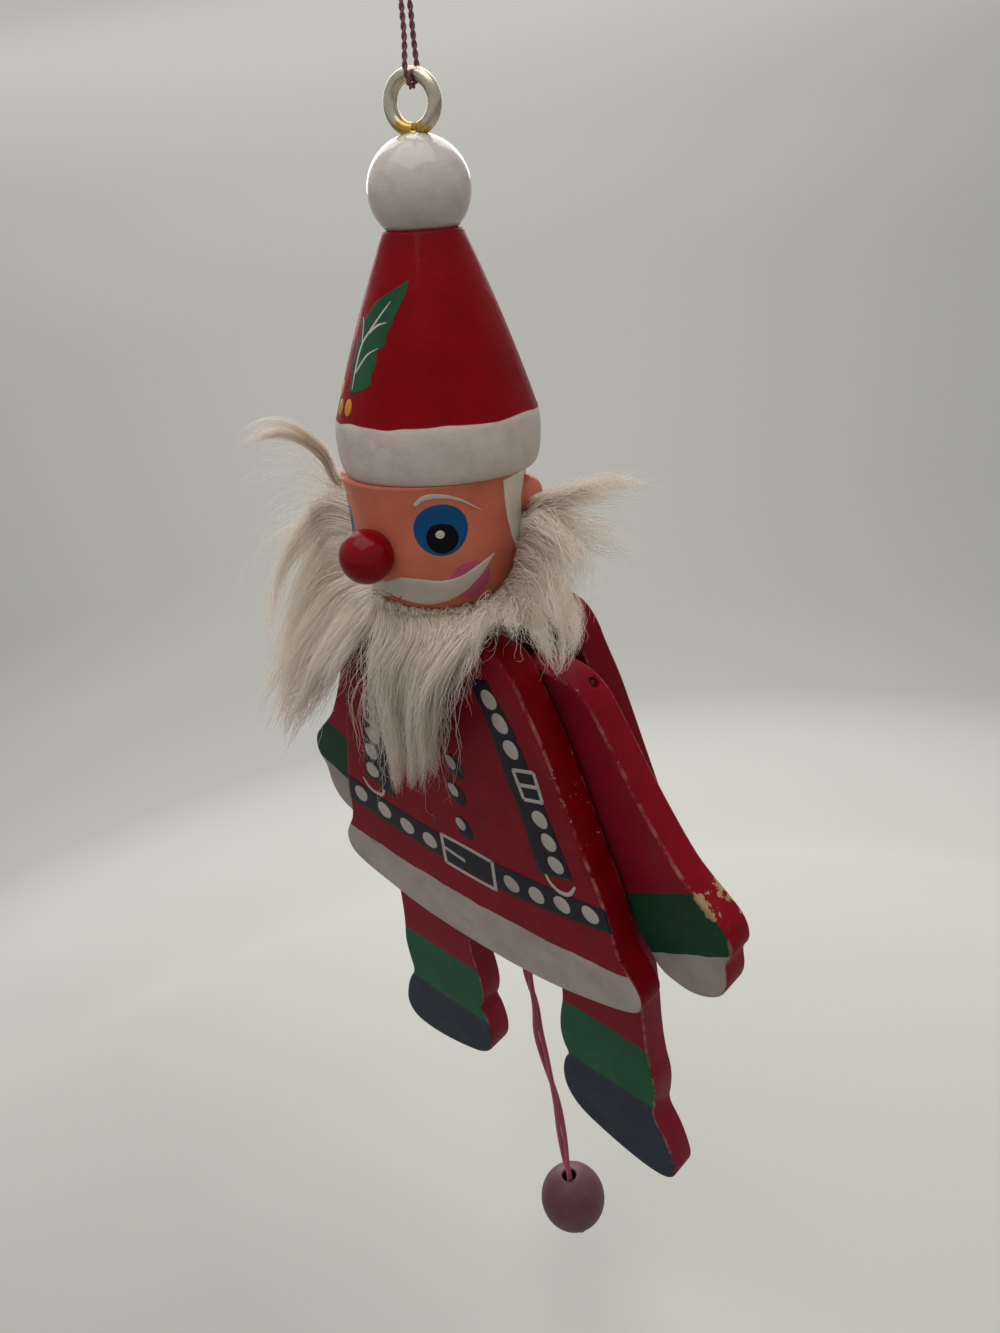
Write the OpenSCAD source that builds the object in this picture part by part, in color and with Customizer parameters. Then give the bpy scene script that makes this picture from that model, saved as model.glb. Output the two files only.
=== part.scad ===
// Pull string jumping jack: a flat wooden figure with a turned head that hangs from a cord.
// It faces -Y, and left and right are the viewer's. The origin is the centre of the hanging eye.
// The figure is laid out from the middle of its hem, on the front face of the front board.

/* [Tunic boards] */
// Thickness of every board: the two tunic boards, the arms and the legs
board_t = 6; // [4:0.5:9]
// Space between the two tunic boards
tunic_gap = 10; // [9:0.5:14]
// Widest place of the tunic, just above the hem
tunic_w = 79; // [76:1:90]
// Height of the tunic from the hem to the shoulders
tunic_h = 78.2; // [76:0.2:86]

/* [Pegs] */
// Diameter of the wooden pegs that the arms and legs turn on
peg_d = 4; // [3:0.5:5]
// Radial running clearance of a limb on its peg
peg_play = 0.05; // [0.02:0.01:0.1]
// Diameter of the collar that spaces a limb from the back board
collar_d = 7.6; // [6.5:0.1:9]
// Depth of the blind holes that hold the pegs
peg_seat = 4; // [3:0.5:5]

/* [Arms] */
// Distance from an arm's peg to the tip of the mitten
arm_reach = 54; // [48:1:60]
// Widest place of an arm, at its cuff
arm_w = 21.6; // [19:0.2:24]
// Distance of the arm pegs from the middle
arm_peg_x = 19.5; // [18:0.5:21]
// Depth of the arm pegs below the top of the tunic
arm_peg_drop = 20.8; // [18:0.2:23]
// Angle at which the right arm hangs
arm_rest_right = 28; // [24:1:30]
// Angle at which the left arm hangs
arm_rest_left = 25; // [22:1:30]

/* [Legs] */
// Distance from a leg's peg to the sole
leg_reach = 71.2; // [64:0.2:78]
// Widest place of a leg, across the boot
leg_w = 29.6; // [26:0.2:32]
// Distance of the leg pegs from the middle
leg_peg_x = 20; // [18:0.5:22]
// Mean height of the leg pegs above the hem
leg_peg_z = 15.4; // [13:0.2:18]
// How much lower the left leg is pegged than the right one
leg_step = 3; // [0:0.5:4]
// Angle by which both legs swing towards the left at rest
leg_rest = 2.8; // [0:0.2:4]

/* [Head] */
// Angle by which the head leans back
lean_back = 12.7; // [0:0.1:14]
// Angle by which the head leans to the left
lean_side = 6; // [0:0.5:7]
// Angle by which the face turns to the right about the head's axis
face_turn = 3.6; // [0:0.2:10]
// Widest radius of the face
face_r = 14.4; // [13:0.2:15]
// Radius of the head where it meets the hat
crown_r = 15.5; // [15:0.1:16]
// Height of the widest place of the face above the chin
cheek_h = 15.2; // [13:0.2:17]
// Height of the face from the chin to the hat
face_h = 25.1; // [23:0.1:27]
// Radius of the nose ball
nose_r = 4.45; // [3.5:0.05:5.5]
// Height of the nose above the chin
nose_h = 14; // [12:0.5:15]
// Radius of the ear balls
ear_r = 3.2; // [2.8:0.1:4]
// Height of the ears above the chin
ear_h = 20; // [18:0.5:21]

/* [Hat] */
// Widest radius of the hat's brim
brim_r = 16.8; // [16.4:0.1:18.5]
// Height of the brim
brim_h = 9.8; // [8:0.2:12]
// Radius of the cone where it leaves the brim
cone_r = 16.3; // [15:0.1:16.4]
// Radius of the cone's top
cone_top_r = 6.3; // [5.6:0.1:7.5]
// Height of the cone above the brim
cone_h = 27.6; // [22:0.2:34]
// Radius of the ball on the hat
pompom_r = 8.1; // [7.2:0.1:9]
// Height that the ball's flat seat takes off its radius
pompom_cut = 2.3; // [1.5:0.1:3]

/* [Hanging eye and cord] */
// Outer diameter of the screw eye
eye_d = 10; // [9:0.2:12]
// Thickness of the screw eye's wire
eye_wire = 2.2; // [1.8:0.1:2.6]
// Angle by which the eye faces right of straight ahead
eye_turn = 17; // [0:1:45]
// Length of the screw below the eye
screw_l = 24; // [18:1:28]
// Diameter of the hanging cord
loop_d = 0.9; // [0.8:0.05:1]

/* [Pull string] */
// Diameter of the doubled pull cord
cord_d = 2.4; // [2:0.1:2.8]
// Diameter of the strings that join the limbs
string_d = 1; // [0.8:0.1:1.2]
// Diameter of the bead
bead_d = 15.8; // [13:0.2:18]
// Length of the bead
bead_l = 19; // [16:0.5:22]

/* [Hidden] */

// Height of the arm pegs above the hem
arm_peg_z = tunic_h - arm_peg_drop;
// How much further than its face a cut runs
overrun = 1;
// Glued clearance of a peg, dowel or screw in its hole, and of a flat seat
glue_gap = 0.02;
// Clearance of soft solids from the wood
soft_gap = 0.35;
// Number of sides of round wooden pieces
round_fn = 64;
// Number of sides of strings' holes and knots
small_fn = 24;
// Share of an edge that one pass of corner rounding cuts off at each end, and the passes made
cut_share = 0.25;
cut_passes = 2;

// Depth of the middle of the gap, where the strings run
mid_y = board_t + tunic_gap / 2;
// Front face of the limbs, one millimetre behind the front board
limb_front = 1;
limb_y = board_t + limb_front;
// Running space between a limb and its collar
collar_gap = 0.2;

// Right half of the tunic's outline, as shares of its half width and its height, from the hem up
tunic_shares = [[0, 0], [0.29, 0.005], [0.53, 0.02], [0.75, 0.047], [0.92, 0.072], [1.0, 0.1],
    [1.01, 0.15], [0.97, 0.19], [0.91, 0.235], [0.885, 0.29], [0.87, 0.35], [0.835, 0.43],
    [0.785, 0.51], [0.71, 0.65], [0.645, 0.765], [0.605, 0.83], [0.545, 0.9], [0.515, 0.95],
    [0.45, 0.995], [0.34, 1.005], [0.22, 0.985], [0.1, 0.972], [0, 0.97]];

// Right arm hanging straight down, as shares of its width and its reach, from the shoulder's
// outer corner round to the outer edge
arm_shares = [[0.6, 0.16], [0.5, 0.21], [0.24, 0.27], [-0.02, 0.27], [-0.18, 0.225], [-0.21, 0.14],
    [-0.19, 0], [-0.14, -0.2], [-0.12, -0.38], [-0.12, -0.56], [-0.17, -0.7], [-0.185, -0.82],
    [-0.175, -0.9], [-0.08, -0.945], [0.05, -0.99], [0.25, -1.005], [0.41, -0.99], [0.54, -0.94],
    [0.62, -0.87], [0.66, -0.85], [0.78, -0.82], [0.835, -0.74], [0.77, -0.65], [0.71, -0.58],
    [0.655, -0.5], [0.63, -0.28], [0.65, -0.02], [0.65, 0.1]];

// Right leg hanging straight down, as shares of its width and its reach, from the top of the
// hip round past the heel and the toe
leg_shares = [[0.36, 0.08], [0.22, 0.16], [0.05, 0.18], [-0.18, 0.175], [-0.28, 0.13], [-0.27, 0],
    [-0.25, -0.15], [-0.225, -0.31], [-0.22, -0.42], [-0.265, -0.5], [-0.285, -0.58],
    [-0.265, -0.645], [-0.22, -0.685], [-0.27, -0.715], [-0.31, -0.79], [-0.29, -0.87],
    [-0.18, -0.935], [0.03, -0.97], [0.32, -1.0], [0.52, -1.005], [0.65, -0.99], [0.71, -0.94],
    [0.69, -0.88], [0.62, -0.79], [0.52, -0.725], [0.55, -0.65], [0.56, -0.57], [0.52, -0.49],
    [0.495, -0.38], [0.485, -0.22], [0.45, -0.05]];

// Profile of the brim, as shares of its radius and its height, from its lower edge up
brim_shares = [[0.88, 0], [0.925, 0.02], [0.965, 0.14], [0.99, 0.35], [1.0, 0.62], [0.995, 0.85],
    [0.98, 0.96]];

// How far the cone bulges beyond a straight side
cone_bulge = 0.4;
// Roundness of the chin: 2 is an ellipse, more is squarer
chin_power = 2.2;
// Steps of a curved profile
profile_steps = 12;

// Where the head's axis starts at the chin: across, in front of the strings, and below the
// top of the boards
head_x = -0.9;
head_fore = 2.5;
chin_drop = 1.2;
neck = [head_x, mid_y - head_fore, tunic_h - chin_drop];
// Shift of the face from the hat's axis, to the left and to the front
face_shift_x = -0.8;
face_shift_y = -1;
// Tenon that joins the head to the hat
tenon_r = 6;
tenon_h = 7;
// Height of the hat's parts above the chin
hat_z = face_h;
cone_z = hat_z + brim_h;
pompom_seat_z = cone_z + cone_h;
pompom_z = pompom_seat_z + pompom_r - pompom_cut;
// Centre line of the eye's ring and its place on the ball
ring_r = (eye_d - eye_wire) / 2;
eye_sink = 0.8;
eye_z = pompom_z + pompom_r + eye_d / 2 - eye_sink;
// Opening in the ring where the wire's end meets the shank
ring_opening = 16;

// Ball of the nose: how far its centre stands out from the face, and its flat back
nose_out_share = 0.6;
nose_flat_share = 0.35;
// Angle of the ears from the nose
ear_turn = 127;

// Neck block between the boards and the dowel that carries the head
neck_block_w = 10;
neck_block_h = 8.4;
board_top = tunic_h * tunic_shares[len(tunic_shares) - 1][1];
neck_block_z = board_top - neck_block_h;
neck_dowel_d = 6;
neck_dowel_l = 21;
neck_seat = 7;

// Strings through the limbs: hole radius, and ends as shares of the limb's width and reach
string_play = 0.35;
string_hole_r = string_d / 2 + string_play;
arm_hole_out_share = [0.62, 0.14];
arm_hole_in_share = [-0.2, 0.215];
leg_hole_out_share = [0.42, 0.1];
leg_hole_in_share = [-0.3, 0.125];
// How far a string stops short of the mouth of its hole
tie_short = 0.5;
// Where the strings meet the pull cord
knot_rise = 7.5;
arm_knot_z = arm_peg_z + knot_rise;
leg_knot_z = leg_peg_z + knot_rise;
string_knot_r = 1.8;

// Free pull cord, from the hem to the bead: across, and above the hem
pull_places = [[0, 0], [0, -1], [-0.8, -9], [-1.9, -18], [-1.4, -28], [-2, -38], [-1.2, -49], [-0.2, -61],
    [-0.4, -74], [-0.7, -84], [-0.5, -90]];
pull_route = [for (p = pull_places) [p[0], mid_y, p[1]]];
bead_top = pull_route[len(pull_route) - 1];
bead_play = 0.4;
bead_hole_r = cord_d / 2 + bead_play;
bead_knot_r = 2.3;
bead_fn = 48;

// Hanging cord about the centre of the eye: down the front strand, under the wire and up the back one
loop_route = [[-1.3, 3.4, 18.6], [-0.9, 2.5, 16.5], [-0.5, 1.6, 13.5], [0, 0.6, 9], [0.35, -0.5, 5.6],
    [0.5, -0.75, 4.6], [0.55, -0.65, 3.5], [0.3, -0.25, 2.5], [-0.1, 0.4, 2], [-0.45, 1.2, 2],
    [-0.7, 2.1, 2.5], [-0.75, 2.7, 3.3], [-0.75, 2.85, 4.4], [-1.1, 3.4, 8], [-1.6, 4.3, 13],
    [-1.7, 4.4, 16.5], [-1.4, 3.9, 18.6]];
loop_knot_at = [-1.35, 3.65, 19.8];
loop_knot_r = 1.4;

// Soft beard, in masses of round lumps about the chin: across, back, up, and radius
beard_left = [[-17, 1, 12, 5.5], [-30, 3, 12, 4], [-41, -3, 0, 4.5], [-43, -9, -20, 4],
    [-41, -15, -31, 4], [-30, -14, -26, 4.5], [-16, -13, -8, 5.5], [-13, -4, 8, 6]];
beard_left_wisp = [[-18, 4, 16, 5], [-27, 2, 25, 4], [-31, -2, 30, 3.5], [-41, -7, 27, 3]];
beard_middle = [[-12, -10, 0, 6], [10, -10, 2, 6], [-11, -12, -35, 4], [-16, -12, -25, 4.5],
    [8, -12, -12, 4.5]];
beard_right = [[8, -7, 2, 6], [16, -3, 11, 6], [33, -11, 6, 4.5], [34, -6, 15, 5], [20, 5, 18, 5.5]];
beard_right_wisp = [[16, 8, 20, 5], [28, 2, 27, 4.5], [47, -4, 33, 3], [44, -4, 26, 3]];
beard_fn = 24;

function cut_corners(p) = [for (i = [0 : len(p) - 1], s = [cut_share, 1 - cut_share])
    p[i] * (1 - s) + p[(i + 1) % len(p)] * s];
function rounded(p, passes) = passes == 0 ? p : rounded(cut_corners(p), passes - 1);
function sized(shares, w, h) = [for (s = shares) [s[0] * w, s[1] * h]];
function mirrored(half) = concat(half, [for (i = [len(half) - 2 : -1 : 1]) [-half[i][0], half[i][1]]]);

tunic_outline = rounded(mirrored(sized(tunic_shares, tunic_w / 2, tunic_h)), cut_passes);
arm_outline = rounded(sized(arm_shares, arm_w, arm_reach), cut_passes);
leg_outline = rounded(sized(leg_shares, leg_w, leg_reach), cut_passes);

// Radius of the face at a height above the chin, below and above its widest place
function chin_point(a) =
    [face_r * pow(cos(a), 2 / chin_power), cheek_h * (1 - pow(sin(a), 2 / chin_power))];
function temple_point(s) = [face_r + (crown_r - face_r) * s * s, cheek_h + (face_h - cheek_h) * s];
face_profile = concat([for (i = [profile_steps : -1 : 0]) chin_point(90 * i / profile_steps)],
    [for (i = [1 : profile_steps]) temple_point(i / profile_steps)]);
function cone_point(s) =
    [cone_r + (cone_top_r - cone_r) * s + 4 * cone_bulge * s * (1 - s), brim_h + cone_h * s];
hat_profile = concat(sized(brim_shares, brim_r, brim_h),
    [for (i = [0 : profile_steps]) cone_point(i / profile_steps)]);

// The eye's centre from the middle of the hem, by turning the head's axis twice
head_axis = [-cos(lean_back) * sin(lean_side), sin(lean_back), cos(lean_back) * cos(lean_side)];
eye_centre = neck + head_axis * eye_z;

// Points of a round ring about a place on a route, square to the route there
function unit(v) = v / norm(v);
function way(r, i) = unit(r[min(i + 1, len(r) - 1)] - r[max(i - 1, 0)]);
function side_of(d) = unit(cross(d, abs(d[0]) < 0.9 ? [1, 0, 0] : [0, 1, 0]));
function ring_at(r, i, radius, sides) = let (d = way(r, i), u = side_of(d), v = cross(d, u))
    [for (k = [0 : sides - 1]) r[i] + radius * (cos(360 * k / sides) * u + sin(360 * k / sides) * v)];

module tube(route, d, sides = 8) {
    n = len(route);
    points = [for (i = [0 : n - 1]) each ring_at(route, i, d / 2, sides)];
    walls = [for (i = [0 : n - 2], k = [0 : sides - 1])
        [i * sides + k, i * sides + (k + 1) % sides, (i + 1) * sides + (k + 1) % sides, (i + 1) * sides + k]];
    near = [[for (k = [sides - 1 : -1 : 0]) k]];
    far = [[for (k = [0 : sides - 1]) (n - 1) * sides + k]];
    polyhedron(points, concat(walls, near, far));
}

module on_figure() {
    translate(-eye_centre) children();
}

module on_head() {
    on_figure() translate(neck) rotate([-lean_back, -lean_side, 0]) children();
}

module on_face() {
    on_head() translate([face_shift_x, face_shift_y, 0]) rotate([0, 0, face_turn]) children();
}

// A flat outline in the figure's plane, from one depth to another
module slab(outline, y, t) {
    translate([0, y + t, 0]) rotate([90, 0, 0]) linear_extrude(t) polygon(outline);
}

// A round bar along Y, from one depth to another
module bar(r, y0, y1) {
    translate([0, y1, 0]) rotate([90, 0, 0]) cylinder(h = y1 - y0, r = r, $fn = round_fn);
}

// A round hole between two places in the plane of a limb
module string_hole(from, to) {
    d = to - from;
    l = norm(d);
    translate([from[0], mid_y, from[1]]) rotate([0, atan2(d[0], d[1]), 0])
        translate([0, 0, -overrun * 4]) cylinder(h = l + overrun * 8, r = string_hole_r, $fn = small_fn);
}

// Where a limb hangs: side is 1 on the right and -1 on the left
function leg_z(side) = leg_peg_z + side * leg_step / 2;
function arm_rest(side) = side > 0 ? arm_rest_right : arm_rest_left;
module at_arm(side) {
    on_figure() translate([side * arm_peg_x, 0, arm_peg_z]) rotate([0, -side * arm_rest(side), 0])
        mirror([side < 0 ? 1 : 0, 0, 0]) children();
}
module at_leg(side) {
    on_figure() translate([side * leg_peg_x, 0, leg_z(side)]) rotate([0, leg_rest, 0])
        mirror([side < 0 ? 1 : 0, 0, 0]) children();
}
// Place of a point of a limb, in the figure's plane
function turned(p, a) = [p[0] * cos(a) - p[1] * sin(a), p[0] * sin(a) + p[1] * cos(a)];
function arm_place(p, side) = let (q = turned(p, arm_rest(side)))
    [side * (arm_peg_x + q[0]), arm_peg_z + q[1]];
function leg_place(p, side) = let (q = turned(p, -side * leg_rest))
    [side * (leg_peg_x + q[0]), leg_z(side) + q[1]];

module tunic_board(y) {
    slab(tunic_outline, y, board_t);
}

// Blind holes for the four pegs, open towards the gap
module peg_holes(y0, y1) {
    for (side = [-1, 1]) {
        translate([side * arm_peg_x, 0, arm_peg_z]) bar(peg_d / 2 + glue_gap, y0, y1);
        translate([side * leg_peg_x, 0, leg_z(side)]) bar(peg_d / 2 + glue_gap, y0, y1);
    }
}

module front_board() {
    color("firebrick") on_figure() difference() {
        tunic_board(0);
        peg_holes(board_t - peg_seat - glue_gap, board_t + overrun);
    }
}

module back_board() {
    color("darkred") on_figure() difference() {
        tunic_board(board_t + tunic_gap);
        peg_holes(board_t + tunic_gap - overrun, board_t + tunic_gap + peg_seat + glue_gap);
    }
}

module neck_block() {
    color("burlywood") on_figure() difference() {
        translate([-neck_block_w / 2, board_t, neck_block_z]) cube([neck_block_w, tunic_gap, neck_block_h]);
        translate([0, mid_y, neck_block_z + neck_block_h - neck_seat])
            cylinder(h = neck_seat + overrun, r = neck_dowel_d / 2 + glue_gap, $fn = round_fn);
    }
}

module neck_rod(extra, top) {
    translate([0, mid_y, neck_block_z + neck_block_h - neck_seat + glue_gap])
        cylinder(h = neck_dowel_l + top, r = neck_dowel_d / 2 + extra, $fn = round_fn);
}

module neck_dowel() {
    color("tan") on_figure() neck_rod(0, 0);
}

module peg() {
    bar(peg_d / 2, board_t - peg_seat, board_t + tunic_gap + peg_seat);
    bar(collar_d / 2, limb_y + board_t + collar_gap, board_t + tunic_gap - glue_gap);
}

module arm_peg(side) {
    color("tan") on_figure() translate([side * arm_peg_x, 0, arm_peg_z]) peg();
}

module leg_peg(side) {
    color("tan") on_figure() translate([side * leg_peg_x, 0, leg_z(side)]) peg();
}

// A limb: its outline, its bore and the hole for its string
module limb(outline, w, reach, hole_out, hole_in) {
    difference() {
        slab(outline, limb_y, board_t);
        bar(peg_d / 2 + peg_play, limb_y - overrun, limb_y + board_t + overrun);
        string_hole([hole_in[0] * w, hole_in[1] * reach], [hole_out[0] * w, hole_out[1] * reach]);
    }
}

module arm(side) {
    color("crimson") at_arm(side)
        limb(arm_outline, arm_w, arm_reach, arm_hole_out_share, arm_hole_in_share);
}

module leg(side) {
    color("seagreen") at_leg(side)
        limb(leg_outline, leg_w, leg_reach, leg_hole_out_share, leg_hole_in_share);
}

// Turned head: bores for the neck dowel and seats for the nose and ears
module face_solid(grow) {
    rotate_extrude($fn = round_fn) offset_profile(grow);
}

module offset_profile(grow) {
    polygon(concat([[0, -grow]],
        [for (p = face_profile) [p[0] + grow, p[1] - grow * (1 - p[1] / face_h)]], [[0, face_h]]));
}

function face_radius(h) = h > cheek_h ? temple_point((h - cheek_h) / (face_h - cheek_h))[0]
    : face_r * pow(1 - pow(1 - h / cheek_h, chin_power), 1 / chin_power);
nose_at = face_radius(nose_h) + nose_out_share * nose_r;
nose_flat = nose_at - nose_r * (1 - nose_flat_share);
ear_at = face_radius(ear_h);
ear_flat = ear_at - ear_r * (1 - nose_flat_share);

module nose_place() {
    on_face() translate([0, 0, nose_h]) rotate([90, 0, 0]) children();
}

module ear_place(side) {
    on_face() rotate([0, 0, side * ear_turn]) translate([0, 0, ear_h]) rotate([90, 0, 0]) children();
}

// A ball with a flat back, standing along Z
module button(r, at, flat) {
    intersection() {
        translate([0, 0, at]) sphere(r, $fn = round_fn);
        translate([0, 0, flat]) cylinder(h = 3 * r, r = 2 * r, $fn = round_fn);
    }
}

module head() {
    color("peachpuff") difference() {
        union() {
            on_face() face_solid(0);
            on_head() translate([0, 0, face_h - overrun])
                cylinder(h = tenon_h + overrun, r = tenon_r, $fn = round_fn);
        }
        on_figure() neck_rod(glue_gap, glue_gap);
        nose_place() translate([0, 0, nose_flat])
            cylinder(h = nose_r * 3, r = nose_r + glue_gap, $fn = round_fn);
        for (side = [-1, 1]) {
            ear_place(side) translate([0, 0, ear_flat])
                cylinder(h = ear_r * 3, r = ear_r + glue_gap, $fn = round_fn);
        }
    }
}

module hat() {
    color("red") on_head() translate([0, 0, hat_z]) difference() {
        rotate_extrude($fn = round_fn) polygon(concat([[0, 0]], hat_profile, [[0, brim_h + cone_h]]));
        translate([0, 0, -overrun])
            cylinder(h = overrun + tenon_h + glue_gap, r = tenon_r + glue_gap, $fn = round_fn);
        translate([0, 0, eye_z - hat_z - ring_r - screw_l - glue_gap])
            cylinder(h = screw_l, r = eye_wire / 2 + glue_gap, $fn = round_fn);
    }
}

module pompom() {
    color("white") on_head() difference() {
        translate([0, 0, pompom_z]) sphere(pompom_r, $fn = round_fn);
        translate([0, 0, pompom_seat_z - 2 * pompom_r])
            cylinder(h = 2 * pompom_r, r = 2 * pompom_r, $fn = round_fn);
        translate([0, 0, pompom_seat_z - overrun])
            cylinder(h = 3 * pompom_r, r = eye_wire / 2 + glue_gap, $fn = round_fn);
        eye_ring(glue_gap, 360);
    }
}

module nose() {
    color("red") nose_place() button(nose_r, nose_at, nose_flat + glue_gap);
}

module ear(side) {
    color("peachpuff") ear_place(side) button(ear_r, ear_at, ear_flat + glue_gap);
}

// The eye's ring, open at its foot where the wire comes round to the shank
module eye_ring(grow, sweep) {
    translate([0, 0, eye_z]) rotate([0, 0, eye_turn]) rotate([90, 0, 0]) rotate([0, 0, 270 - sweep])
        rotate_extrude(angle = sweep, $fn = round_fn) translate([ring_r, 0])
            circle(eye_wire / 2 + grow, $fn = round_fn / 2);
}

module screw_eye() {
    color("goldenrod") on_head() {
        eye_ring(0, 360 - ring_opening);
        translate([0, 0, eye_z - ring_r - screw_l]) cylinder(h = screw_l, r = eye_wire / 2, $fn = round_fn);
    }
}

module hanging_loop() {
    color("brown") tube(loop_route, loop_d);
}

module loop_knot() {
    color("brown") translate(loop_knot_at) sphere(loop_knot_r, $fn = small_fn);
}

// The beard hangs round the chin, clear of the head and in front of the tunic
module beard_mass(lumps) {
    hull() for (b = lumps) {
        translate([b[0], b[1], b[2]]) sphere(b[3], $fn = beard_fn);
    }
}

module beard() {
    color("ivory") difference() {
        on_figure() translate(neck) {
            beard_mass(beard_left);
            beard_mass(beard_left_wisp);
            beard_mass(beard_middle);
            beard_mass(beard_right);
            beard_mass(beard_right_wisp);
        }
        on_face() face_solid(soft_gap);
        on_head() translate([0, 0, hat_z - soft_gap])
            cylinder(h = brim_h, r = brim_r + soft_gap, $fn = round_fn);
        for (side = [-1, 1]) {
            ear_place(side) translate([0, 0, ear_at]) sphere(ear_r + soft_gap, $fn = round_fn);
        }
        on_figure() translate([-tunic_w, -soft_gap, -tunic_h])
            cube([2 * tunic_w, tunic_w, 2 * tunic_h + soft_gap]);
    }
}

// The string's end inside a limb, from the limb's inner edge to just short of its outer one
module tie(hole_in, hole_out, w, reach) {
    from = [hole_in[0] * w, hole_in[1] * reach];
    d = [hole_out[0] * w, hole_out[1] * reach] - from;
    translate([from[0], mid_y, from[1]]) rotate([0, atan2(d[0], d[1]), 0])
        cylinder(h = norm(d) - tie_short, r = string_d / 2, $fn = small_fn);
}

module arm_tie(side) {
    color("maroon") at_arm(side) tie(arm_hole_in_share, arm_hole_out_share, arm_w, arm_reach);
}

module leg_tie(side) {
    color("maroon") at_leg(side) tie(leg_hole_in_share, leg_hole_out_share, leg_w, leg_reach);
}

// The free stretch of a string, from a limb's inner edge to the knot on the pull cord
module free_string(from, knot_z) {
    way_in = unit([0, knot_z] - from);
    near = from + way_in * tie_short;
    knot = [0, knot_z] - way_in * (string_knot_r + glue_gap);
    on_figure() tube([for (p = [near, (near + knot) / 2, knot]) [p[0], mid_y, p[1]]], string_d);
}

module arm_string() {
    hole = [arm_hole_in_share[0] * arm_w, arm_hole_in_share[1] * arm_reach];
    color("maroon") for (side = [-1, 1]) free_string(arm_place(hole, side), arm_knot_z);
}

module leg_string() {
    hole = [leg_hole_in_share[0] * leg_w, leg_hole_in_share[1] * leg_reach];
    color("maroon") for (side = [-1, 1]) free_string(leg_place(hole, side), leg_knot_z);
}

module string_knots() {
    color("maroon") on_figure() for (z = [arm_knot_z, leg_knot_z]) {
        translate([0, mid_y, z]) sphere(string_knot_r, $fn = small_fn);
    }
}

// The pull cord between the boards, in two lengths that end on the knots
module inner_cord() {
    color("brown") on_figure() for (span = [[leg_knot_z, arm_knot_z], [0, leg_knot_z]]) {
        low = span[0] == 0 ? 0 : span[0] + string_knot_r;
        translate([0, mid_y, low])
            cylinder(h = span[1] - string_knot_r - low, r = cord_d / 2, $fn = small_fn);
    }
}

module pull_cord() {
    color("brown") on_figure() tube(concat(pull_route, [bead_top - [0, 0, bead_l]]), cord_d);
}

module pull_bead() {
    color("maroon") on_figure() translate(bead_top - [0, 0, bead_l / 2]) difference() {
        rotate_extrude($fn = bead_fn) polygon([for (a = [-90 : 180 / bead_fn * 2 : 90])
            [bead_d / 2 * cos(a), bead_l / 2 * sin(a)]]);
        translate([0, 0, -bead_l]) cylinder(h = 2 * bead_l, r = bead_hole_r, $fn = bead_fn);
    }
}

module bead_knot() {
    color("brown") on_figure() translate(bead_top - [0, 0, bead_l + bead_knot_r])
        sphere(bead_knot_r, $fn = small_fn);
}

front_board();
back_board();
neck_block();
neck_dowel();
head();
hat();
pompom();
nose();
ear(-1);  // ear_left
ear(1);  // ear_right
beard();
screw_eye();
hanging_loop();
loop_knot();
arm_peg(-1);  // arm_peg_left
arm_peg(1);  // arm_peg_right
leg_peg(-1);  // leg_peg_left
leg_peg(1);  // leg_peg_right
arm(-1);  // arm_left
arm(1);  // arm_right
leg(-1);  // leg_left
leg(1);  // leg_right
arm_tie(-1);  // arm_tie_left
arm_tie(1);  // arm_tie_right
leg_tie(-1);  // leg_tie_left
leg_tie(1);  // leg_tie_right
arm_string();
leg_string();
string_knots();
inner_cord();
pull_cord();
pull_bead();
bead_knot();
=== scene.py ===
import bpy
import numpy as np
from mathutils import Matrix


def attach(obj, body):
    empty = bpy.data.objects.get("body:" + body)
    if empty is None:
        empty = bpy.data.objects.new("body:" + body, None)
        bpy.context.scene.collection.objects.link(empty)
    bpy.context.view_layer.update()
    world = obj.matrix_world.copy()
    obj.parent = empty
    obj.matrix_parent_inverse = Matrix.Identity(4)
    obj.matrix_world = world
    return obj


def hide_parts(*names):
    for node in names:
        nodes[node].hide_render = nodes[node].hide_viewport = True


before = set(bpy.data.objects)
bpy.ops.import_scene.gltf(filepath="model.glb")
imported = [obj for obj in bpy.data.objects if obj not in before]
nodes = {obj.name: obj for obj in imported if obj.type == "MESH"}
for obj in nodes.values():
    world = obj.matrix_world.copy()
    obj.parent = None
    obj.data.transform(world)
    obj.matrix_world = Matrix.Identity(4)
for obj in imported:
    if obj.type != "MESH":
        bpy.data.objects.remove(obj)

print("packed part loaded")
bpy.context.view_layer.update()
dice = np.random.default_rng(24)
mm = 0.001

# The figure is laid out in millimetres from the middle of its hem: x to the viewer's right,
# y backwards from the front board's front face, z up. The frame's origin is the hanging eye.
figure = {"eyeCentre": (-9.119, 26.220, 155.197), "midY": 11, "boardT": 6, "backY": 16, "limbY": 7}
headLean = {"back": 12.7, "side": 6, "eyeUp": 80.6, "faceShift": (-0.8, -1, 0), "faceTurn": 3.6}


def turnMatrix(axis, degrees):
    # rotation about one axis: cosines on the diagonal, sines with opposite signs beside them
    c, s = np.cos(np.radians(degrees)), np.sin(np.radians(degrees))
    i, j = {"x": (1, 2), "y": (2, 0), "z": (0, 1)}[axis]
    m = np.eye(3)
    m[i, i], m[j, j], m[i, j], m[j, i] = c, c, -s, s
    return m


headTurn = turnMatrix("y", -headLean["side"]) @ turnMatrix("x", -headLean["back"])
faceTurn = turnMatrix("z", headLean["faceTurn"])


def onFigure(p):
    # point less the eye's place, in metres
    return (np.asarray(p, float) - figure["eyeCentre"]) * mm


def onHead(p):
    # point measured up the head's axis from the chin, leant with the head
    return (np.asarray(p, float) - (0, 0, headLean["eyeUp"])) @ headTurn.T * mm


def onFace(p):
    # point about the face's own axis, which is turned and shifted in the head
    return onHead(np.asarray(p, float) @ faceTurn.T + headLean["faceShift"])


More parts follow.
